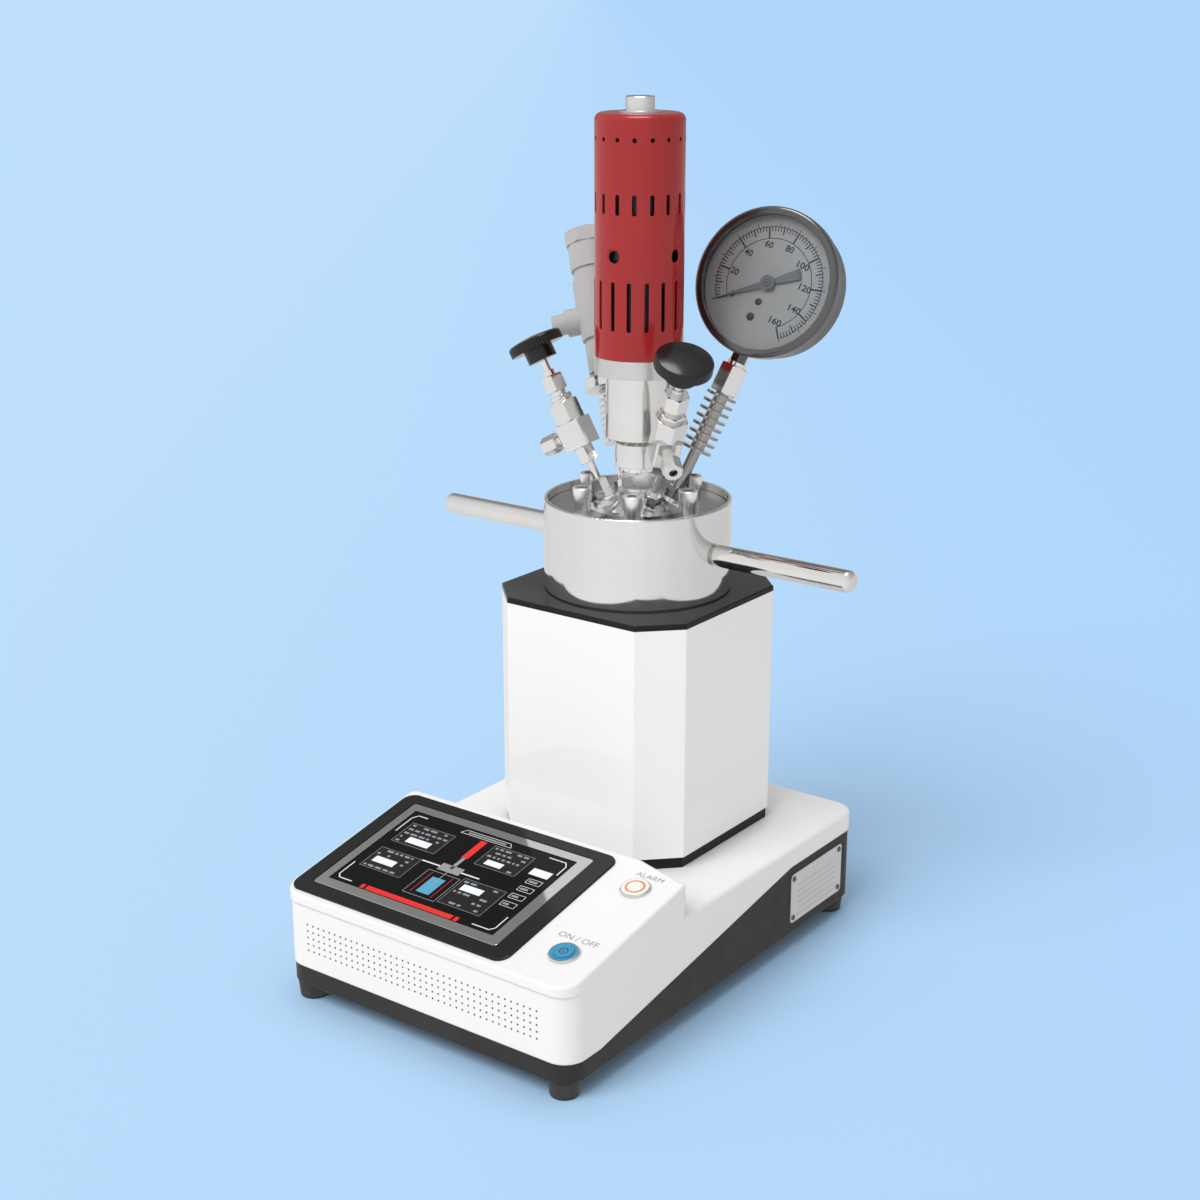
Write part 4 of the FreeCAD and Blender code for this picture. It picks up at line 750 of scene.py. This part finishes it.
# Power button and alarm lamp.
# Turned steel barrels with a chamfered flange and a coloured band inlaid in it. The button's cap is blue with a
# printed ring, and the lamp's lens is milky white with an orange ring that shows through it.
CONTROL_U = 106.4
POWER_V = 34.1
ALARM_V = 120.2
CAP_FACE = 3.4
LENS_FACE = 2.6
BARREL_FACE = 2.2
# Printed rings of the cap, and the stroke in the inner one: radii or half sides, and height over the cap's rim
CAP_RINGS = ((2.7, 3.5, -0.30), (6.5, 6.95, -0.05))
MARK_HALF_W, MARK_HALF_L, MARK_AT = 0.25, 1.5, -0.38
LAMP_RING_IN, LAMP_RING_OUT = 6.1, 7.5
HALO_IN, HALO_OUT = 7.65, 10.1      # band inlaid in each barrel's flange, round its cap or lens
ROUND = 48
STEEL = (0.66, 0.655, 0.645)
STEEL_SECOND = (0.72, 0.715, 0.705)
button_steel = finish("button_steel", STEEL, STEEL_SECOND, 0.12, 0.2, cloud_scale=60.0, metal=1.0,
                      edge_mm=0.2)
dress(button_steel, "power_button_ring", "alarm_lamp_ring")
button_blue = finish("button_blue", (0.045, 0.27, 0.46), (0.055, 0.30, 0.50), 0.2, 0.28, cloud_scale=80.0,
                     edge_mm=0.3, gloss=0.3)
dress(button_blue, "power_button_cap")
lamp_white = finish("lamp_white", (0.84, 0.81, 0.77), (0.88, 0.85, 0.81), 0.22, 0.3, cloud_scale=80.0,
                    coat=0.5, edge_mm=0.3)
dress(lamp_white, "alarm_lamp_lens")
power_face = console @ Matrix.Translation((CONTROL_U * MM, POWER_V * MM, (CAP_FACE + PRINT_LIFT) * MM))
alarm_face = console @ Matrix.Translation((CONTROL_U * MM, ALARM_V * MM, (LENS_FACE + PRINT_LIFT) * MM))


def flat_box(bm, at, x0, y0, x1, y1):
    """Flat rectangle in the XY plane of a placement matrix, in mm."""
    bm.faces.new([bm.verts.new(at @ Vector((x * MM, y * MM, 0)))
                  for x, y in ((x0, y0), (x1, y0), (x1, y1), (x0, y1))])


cap_print = bmesh.new()
for r0, r1, up in CAP_RINGS:
    flat_ring(cap_print, power_face @ Matrix.Translation((0, 0, up * MM)), r0 * MM, r1 * MM, ROUND)
power_mark = bmesh.new()
flat_box(power_mark, power_face @ Matrix.Translation((0, 0, MARK_AT * MM)),
         -MARK_HALF_W, -MARK_HALF_L, MARK_HALF_W, MARK_HALF_L)
ink_dark = finish("ink_dark", (0.03, 0.05, 0.07), (0.04, 0.06, 0.08), 0.3, 0.4, edge_mm=0.02)
add_piece("button_rings", cap_print, ink_dark, "power_button")
add_piece("button_mark", power_mark, ink_dark, "power_button")
lamp_ring = bmesh.new()
flat_ring(lamp_ring, alarm_face, LAMP_RING_IN * MM, LAMP_RING_OUT * MM, ROUND)
orange = finish("ink_orange", (0.76, 0.17, 0.015), (0.82, 0.20, 0.02), 0.35, 0.45, edge_mm=0.02)
add_piece("lamp_ring", lamp_ring, orange, "base")
for name, place_v, material, slot in (("button_halo", POWER_V, button_blue, "button_blue"),
                                      ("lamp_halo", ALARM_V, lamp_white, "lamp_white")):
    halo = bmesh.new()
    halo_at = console @ Matrix.Translation((CONTROL_U * MM, place_v * MM, (BARREL_FACE + PRINT_LIFT) * MM))
    flat_ring(halo, halo_at, HALO_IN * MM, HALO_OUT * MM, ROUND)
    add_piece(name, halo, material, "base")

# Rating plate.
# Thin silver sheet on the tray's right side, left without print but for faint ruled rows, held by four screws.
PLATE_Y = 132.4
PLATE_Z = 44.5
PLATE_HALF_Y = 39.0
PLATE_HALF_Z = 20.9
SCREW_IN = 4.2
SCREW_R = 2.3
SCREW_RISE = 0.9
HEAD_PROFILE = ((1.0, 0.0), (1.0, 0.45), (0.8, 0.85), (0.45, 1.0))    # shares of a head's radius and rise
CROSS_HALF_L, CROSS_HALF_W = 0.75, 0.16
CROSS_TURN = 20
RULE_ROWS = 6
RULE_TOP = 9.0
RULE_PITCH = 5.0
RULE_HALF_L = 30.0
RULE_W = 0.35
INK_LIFT = 0.02
dress(finish("plate_silver", (0.60, 0.60, 0.61), (0.66, 0.66, 0.67), 0.34, 0.42, metal=0.85,
             line_axis=(0, 0, 1), lines_per_metre=6000.0, relief=0.05, edge_mm=0.1), "rating_plate")
plate_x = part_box("rating_plate")[1].x
plate_face = (Matrix.Translation((plate_x, PLATE_Y * MM, PLATE_Z * MM))
              @ Matrix.Rotation(math.radians(90), 4, "Y") @ Matrix.Rotation(math.radians(90), 4, "Z"))
rules = bmesh.new()
plate_print = plate_face @ Matrix.Translation((0, 0, INK_LIFT * MM))
for row in range(RULE_ROWS):
    y = RULE_TOP - row * RULE_PITCH
    flat_box(rules, plate_print, -RULE_HALF_L, y, RULE_HALF_L, y + RULE_W)
rule_grey = finish("rule_grey", (0.25, 0.25, 0.26), (0.3, 0.3, 0.31), 0.5, 0.6, edge_mm=0.02)
add_piece("plate_rules", rules, rule_grey)


def screw_head(bm, at, r, rise, sides=24):
    """Domed screw head standing along Z of its placement."""
    turns = [2 * math.pi * k / sides for k in range(sides)]
    loops = []
    for share_r, share_up in HEAD_PROFILE:
        loops.append([bm.verts.new(at @ Vector((r * share_r * math.cos(a), r * share_r * math.sin(a),
                                                rise * share_up))) for a in turns])
    for low, high in zip(loops, loops[1:]):
        for k in range(sides):
            n = (k + 1) % sides
            face = bm.faces.new((low[k], low[n], high[n], high[k]))
            face.smooth = True
    bm.faces.new(loops[-1])


screws = bmesh.new()
crosses = bmesh.new()
for sy in (-1, 1):
    for sz in (-1, 1):
        at = plate_face @ Matrix.Translation((sy * (PLATE_HALF_Y - SCREW_IN) * MM,
                                              sz * (PLATE_HALF_Z - SCREW_IN) * MM, 0))
        screw_head(screws, at, SCREW_R * MM, SCREW_RISE * MM)
        for turn in (0, 90):
            bar = (at @ Matrix.Translation((0, 0, (SCREW_RISE + INK_LIFT) * MM))
                   @ Matrix.Rotation(math.radians(turn + CROSS_TURN), 4, "Z"))
            flat_box(crosses, bar, -CROSS_HALF_L, -CROSS_HALF_W, CROSS_HALF_L, CROSS_HALF_W)
plate_screw_dark = finish("plate_screw_dark", (0.10, 0.10, 0.10), (0.14, 0.14, 0.14), 0.25, 0.35,
                          cloud_scale=80.0, metal=0.8, edge_mm=0.1)
add_piece("plate_screws", screws, plate_screw_dark)
# The cross recesses are flat crosses of painted shade.
add_piece("plate_screw_crosses", crosses, hole_shade)

# Furnace.
# Folded white gloss jacket between a black plinth and a black cover plate. Inside are packed fibre and a dark
# heating block, out of sight while the vessel hangs in it.
JACKET_WHITE = (0.89, 0.89, 0.893)
JACKET_WHITE_SECOND = (0.905, 0.905, 0.907)
# Its edges are painted whiter, a painted highlight on the rounded edges.
dress(finish("jacket_white", JACKET_WHITE, JACKET_WHITE_SECOND, 0.04, 0.06, cloud_scale=8.0,
             grain_scale=500.0, relief=0.01, edge_mm=0.7, edge_wear_and_highlight_colour=(0.92, 0.92, 0.92)), "furnace_jacket")
# Their edges are painted lighter, as wear and as a painted highlight.
dress(finish("furnace_black", (0.013, 0.013, 0.0125), (0.018, 0.018, 0.0175), 0.16, 0.24, grain_scale=1500.0,
             relief=0.05, edge_mm=0.6, edge_wear_and_highlight_colour=(0.03, 0.03, 0.03), gloss=0.1),
      "furnace_plinth", "furnace_top_plate")
dress(finish("fibre", (0.72, 0.70, 0.66), (0.80, 0.78, 0.74), 0.85, 0.95, cloud_scale=90.0, grain_scale=600.0,
             relief=1.0), "furnace_insulation")
dress(finish("heater_iron", (0.10, 0.095, 0.09), (0.16, 0.15, 0.14), 0.55, 0.7, cloud_scale=50.0, metal=0.6,
             grain_scale=700.0, relief=0.3), "heating_block")

# Vessel and its clamp.
# Turned stainless steel, polished all over: cup, lid with four angled port bosses, two half rings inside a
# drop-over band, six hexagon-socket screws, and two round carrying bars.
BRIGHT = (0.74, 0.735, 0.725)
LID_BRIGHT = (0.86, 0.855, 0.85)
BRIGHT_STEP = 0.05          # from a steel's first tone to its second
UP = (0, 0, 1)
ACROSS = (1, 0, 0)


def turned_steel(name, axis, rough=0.09, rough_second=0.15, relief=0.03, edge_mm=0.35, tone=BRIGHT):
    """Polished steel with the faint rings that turning leaves round the given axis."""
    second = tuple(c + BRIGHT_STEP for c in tone)
    return finish(name, tone, second, rough, rough_second, cloud_scale=30.0, metal=1.0, line_axis=axis,
                  lines_per_metre=3500.0, relief=relief, edge_mm=edge_mm)


dress(turned_steel("vessel_steel", UP, 0.2, 0.3), "vessel_cup")
dress(turned_steel("lid_steel", UP, 0.16, 0.24, tone=LID_BRIGHT), "vessel_lid", "drive_neck")
dress(turned_steel("band_steel", UP, 0.07, 0.13, relief=0.015, edge_mm=0.8), "drop_band")
dress(turned_steel("ring_steel", UP, 0.16, 0.24, tone=(0.36, 0.36, 0.355)),
      "split_ring_left", "split_ring_right")
dress(turned_steel("bar_steel", ACROSS, 0.05, 0.10, relief=0.02), "carry_bar_left", "carry_bar_right")
dress(turned_steel("screw_steel", UP, 0.20, 0.28, tone=LID_BRIGHT), "cap_bolts")
dress(finish("seal_grey", (0.12, 0.12, 0.12), (0.16, 0.16, 0.16), 0.6, 0.7, cloud_scale=60.0), "lid_seal")

# Magnetic drive.
# Turned housing in two tiers with the magnet rotors inside, polished outside and left bare within.
dress(turned_steel("housing_steel", UP, 0.12, 0.2), "drive_housing")
dress(finish("magnet_dark", (0.10, 0.10, 0.105), (0.16, 0.16, 0.165), 0.35, 0.5, metal=0.9, cloud_scale=50.0),
      "outer_rotor", "inner_rotor")
dress(turned_steel("shaft_steel", UP, 0.18, 0.28), "stirrer_shaft")

# Motor.
# Red gloss sheet cover with two rows of slots, a row of small holes and four round ones over a dark motor body.
# Both stand on a satin flange, and a plain steel stub with its washer closes the top.
dress(turned_steel("flange_satin", UP, 0.26, 0.34, tone=(0.62, 0.615, 0.605)), "motor_flange")
dress(finish("motor_dark", (0.014, 0.014, 0.015), (0.03, 0.03, 0.032), 0.32, 0.45, cloud_scale=40.0,
             metal=0.4, grain_scale=1500.0, relief=0.15), "motor_body")
# Its edges are painted a lighter red, a painted highlight on the rounded edges.
dress(finish("cover_red", (0.345, 0.016, 0.018), (0.37, 0.019, 0.021), 0.13, 0.18, cloud_scale=14.0,
             grain_scale=700.0, relief=0.03, edge_mm=0.5, edge_wear_and_highlight_colour=(0.42, 0.05, 0.05), gloss=0.38),
      "motor_cover")
dress(turned_steel("stub_steel", UP, 0.2, 0.3), "top_stub")

# Needle valves.
# Machined blocks, hexagons and tubes in bright steel, leaning out of the lid, each with a black ribbed knob.
LEFT_HEADING = 189.3
LEFT_LEAN = 28.2
RIGHT_HEADING = -33.9
RIGHT_LEAN = 27.3


def leaning(heading, lean):
    """Direction that leans away from upright toward a heading, both in degrees."""
    a = math.radians(heading)
    b = math.radians(lean)
    return (math.sin(b) * math.cos(a), math.sin(b) * math.sin(a), math.cos(b))


knob_black = finish("knob_black", (0.007, 0.007, 0.007), (0.010, 0.010, 0.010), 0.12, 0.20, cloud_scale=40.0,
                    grain_scale=1600.0, relief=0.04, edge_mm=0.9, gloss=0.4)
for side, heading, lean in (("left", LEFT_HEADING, LEFT_LEAN), ("right", RIGHT_HEADING, RIGHT_LEAN)):
    steel = turned_steel(side + "_valve_steel", leaning(heading, lean), 0.08, 0.15, edge_mm=0.45)
    block = turned_steel(side + "_block_steel", leaning(heading, lean), 0.16, 0.24, edge_mm=0.5)
    dress(steel, side + "_tail", side + "_outlet_nut", side + "_bonnet", side + "_packing_nut",
          side + "_valve_stem")
    dress(block, side + "_valve_block")
    dress(knob_black, side + "_valve_knob")

# Siphon and coupling.
# A steel tube with eight turned cooling fins, a darker steel than the rest, carries the coupling of the gauge.
GAUGE_HEADING = 51.3
GAUGE_LEAN = 25.7
siphon_axis = leaning(GAUGE_HEADING, GAUGE_LEAN)
dress(turned_steel("siphon_steel", siphon_axis, 0.10, 0.17, tone=(0.31, 0.305, 0.30)), "gauge_siphon")
dress(turned_steel("coupling_steel", siphon_axis, 0.08, 0.14), "gauge_coupling")

# Gauge.
# A steel case on the coupling carries a dark polished bezel ring and a silver-grey dial with black print and
# two dark screws. The dark tapered pointer turns on a spindle through the dial.
GAUGE_OUT = 22.3
PORT_Z = 340.0
AXIS_Y = 72.75
GAUGE_AT = 193.5
GAUGE_TURN = -134.9
DIAL_FACE = 10.0
DIAL_TURN = 7.4
SCALE_START = 225.0
SCALE_SWEEP = 270.0
SCALE_STEPS = 8
SCALE_STEP_VALUE = 20
TICKS_PER_STEP = 10
TICK_OUT = 42.8
TICK_MINOR = 39.6
TICK_MID = 37.6
TICK_MAJOR = 34.0
FIGURE_R = 29.8
FIGURE_H = 5.2
OUTER_RING = 46.2
OUTER_TICKS = 60
OUTER_LONG_EACH = 5
OUTER_SHORTER = 1.8         # of the ticks between the long ones
MAJOR_W, MID_W, MINOR_W, OUTER_W, ARC_W = 1.3, 1.0, 0.75, 0.55, 0.6
FIGURE_W = 3.4
FIGURE_WEIGHT = 0.022
HUB_FACE = 13.84
HUB_RINGS = ((2.3, 3.0, 32), (0.1, 1.0, 16))                # radii and sides
DIAL_SCREWS = ((-1.2, -15.5, 2.7), (-2.0, -28.2, 3.1))      # place and radius
DIAL_SCREW_RISE = 0.8
a = math.radians(GAUGE_HEADING)
gauge_port = (Matrix.Translation((GAUGE_OUT * math.cos(a) * MM, (AXIS_Y + GAUGE_OUT * math.sin(a)) * MM,
                                  PORT_Z * MM))
              @ Matrix.Rotation(a, 4, "Z") @ Matrix.Rotation(math.radians(GAUGE_LEAN), 4, "Y"))
# The last turn takes X to Y, Y to Z and Z to X, so that the dial faces along its own Z
gauge_face = (gauge_port @ Matrix.Translation((0, 0, GAUGE_AT * MM))
              @ Matrix.Rotation(math.radians(GAUGE_TURN), 4, "Z")
              @ Matrix.Rotation(math.radians(120), 4, Vector((1, 1, 1)).normalized()))
dial_print = gauge_face @ Matrix.Translation((0, 0, (DIAL_FACE + PRINT_LIFT) * MM))
dress(finish("case_steel", (0.10, 0.10, 0.103), (0.13, 0.13, 0.133), 0.18, 0.28, metal=1.0,
             line_axis=siphon_axis, relief=0.03, edge_mm=0.6), "gauge_case")
dress(finish("bezel_dark", (0.115, 0.115, 0.117), (0.14, 0.14, 0.142), 0.14, 0.2, cloud_scale=24.0, metal=0.9,
             edge_mm=0.5), "gauge_bezel")
dress(finish("dial_silver", (0.335, 0.335, 0.33), (0.36, 0.36, 0.355), 0.45, 0.55, cloud_scale=22.0,
             grain_scale=3000.0, relief=0.05, edge_mm=0.05), "gauge_dial")
dress(finish("pointer_dark", (0.13, 0.13, 0.127), (0.16, 0.16, 0.156), 0.4, 0.5, cloud_scale=60.0,
             edge_mm=0.15), "gauge_pointer")


def dial_bar(bm, r0, r1, angle, width):
    """Tick between two radii at an angle from the dial's own X."""
    c = math.cos(math.radians(angle))
    s = math.sin(math.radians(angle))
    ends = ((r0, -width / 2), (r1, -width / 2), (r1, width / 2), (r0, width / 2))
    bm.faces.new([bm.verts.new(dial_print @ Vector(((r * c - w * s) * MM, (r * s + w * c) * MM, 0)))
                  for r, w in ends])


def dial_arc(bm, r, a0, a1, width, steps=90):
    """Thin arc of the dial, outward from its radius."""
    for k in range(steps):
        first = math.radians(a0 + (a1 - a0) * k / steps)
        last = math.radians(a0 + (a1 - a0) * (k + 1) / steps)
        corners = ((r, first), (r + width, first), (r + width, last), (r, last))
        bm.faces.new([bm.verts.new(dial_print @ Vector((q * math.cos(t) * MM, q * math.sin(t) * MM, 0)))
                      for q, t in corners])


scale = bmesh.new()
zero = SCALE_START - DIAL_TURN
total = SCALE_STEPS * TICKS_PER_STEP
for k in range(total + 1):
    angle = zero - SCALE_SWEEP * k / total
    if k % TICKS_PER_STEP == 0:
        dial_bar(scale, TICK_MAJOR, TICK_OUT, angle, MAJOR_W)
    elif k % (TICKS_PER_STEP // 2) == 0:
        dial_bar(scale, TICK_MID, TICK_OUT, angle, MID_W)
    else:
        dial_bar(scale, TICK_MINOR, TICK_OUT, angle, MINOR_W)
for r in (TICK_MAJOR, TICK_OUT):
    dial_arc(scale, r, zero - SCALE_SWEEP, zero, ARC_W)
for k in range(OUTER_TICKS + 1):
    angle = zero - SCALE_SWEEP * k / OUTER_TICKS
    dial_bar(scale, TICK_OUT, OUTER_RING - (OUTER_SHORTER if k % OUTER_LONG_EACH else 0.0), angle, OUTER_W)
for k in range(SCALE_STEPS + 1):
    angle = math.radians(zero - SCALE_SWEEP * k / SCALE_STEPS)
    figure = str(k * SCALE_STEP_VALUE)
    lettering(scale, figure, FIGURE_R * math.cos(angle), FIGURE_R * math.sin(angle), FIGURE_H,
              FIGURE_W * len(figure), dial_print, FIGURE_WEIGHT)
ink_black = finish("ink_black", (0.012, 0.012, 0.012), (0.02, 0.02, 0.02), 0.45, 0.55, edge_mm=0.02)
add_piece("dial_print", scale, ink_black)
hub_mark = bmesh.new()
hub_at = gauge_face @ Matrix.Translation((0, 0, HUB_FACE * MM))
for r0, r1, sides in HUB_RINGS:
    flat_ring(hub_mark, hub_at, r0 * MM, r1 * MM, sides)
hub_dark = finish("hub_dark", (0.03, 0.03, 0.03), (0.04, 0.04, 0.04), 0.4, 0.5, edge_mm=0.05)
add_piece("pointer_hub_mark", hub_mark, hub_dark, "gauge_needle")
dial_screws = bmesh.new()
for x, y, r in DIAL_SCREWS:
    screw_head(dial_screws, gauge_face @ Matrix.Translation((x * MM, y * MM, DIAL_FACE * MM)), r * MM,
               DIAL_SCREW_RISE * MM)
screw_dark = finish("screw_dark", (0.035, 0.035, 0.035), (0.05, 0.05, 0.05), 0.35, 0.45, cloud_scale=80.0,
                    metal=0.5, edge_mm=0.1)
add_piece("dial_screws", dial_screws, screw_dark)

# Gauge window.
# Plain pane of clear glass, held in the bezel ring in front of the pointer.
WINDOW_TINT = (0.97, 0.98, 0.98)
WINDOW_IOR = 1.2            # low, for the faint gloss of a thin pane
window_glass = bpy.data.materials.new("gauge_glass")
window_glass.use_nodes = True
clear = window_glass.node_tree.nodes["Principled BSDF"]
clear.inputs["Base Color"].default_value = (*WINDOW_TINT, 1)
clear.inputs["Metallic"].default_value = 0.0
clear.inputs["Roughness"].default_value = 0.0
clear.inputs["Transmission Weight"].default_value = 1.0
clear.inputs["IOR"].default_value = WINDOW_IOR
dress(window_glass, "gauge_window")

# Temperature sensor.
# Polished well with ridges and a broad flange in the lid; pale grey die-cast head with an eight-sided screw cap
# and a side entry for its lead. The cap is lower than the plain part's, pressed down along the sensor's axis.
SENSOR_HEADING = 144.7
SENSOR_LEAN = 27.3
CAP_SHARE = 0.66            # of the plain cap's height that is left
sensor_axis = leaning(SENSOR_HEADING, SENSOR_LEAN)
dress(turned_steel("well_steel", sensor_axis, 0.10, 0.18), "sensor_well")
# Its edges are painted lighter, as wear and as a painted highlight.
head_grey = finish("head_grey", (0.43, 0.43, 0.425), (0.47, 0.47, 0.465), 0.42, 0.52, cloud_scale=30.0,
                   grain_scale=1300.0, relief=0.35, edge_mm=0.9, edge_wear_and_highlight_colour=(0.52, 0.52, 0.515))
dress(head_grey, "sensor_head", "cable_gland")
cap = bmesh.new()
cap.from_mesh(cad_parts["sensor_cap"].data)
cap.transform(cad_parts["sensor_cap"].matrix_world)
cap_axis = Vector(sensor_axis).normalized()
cap_foot = min(v.co.dot(cap_axis) for v in cap.verts)
for v in cap.verts:
    v.co -= cap_axis * (v.co.dot(cap_axis) - cap_foot) * (1 - CAP_SHARE)
bmesh.ops.recalc_face_normals(cap, faces=cap.faces)
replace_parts(add_piece("sensor_screw_cap", cap, head_grey), "sensor_cap")
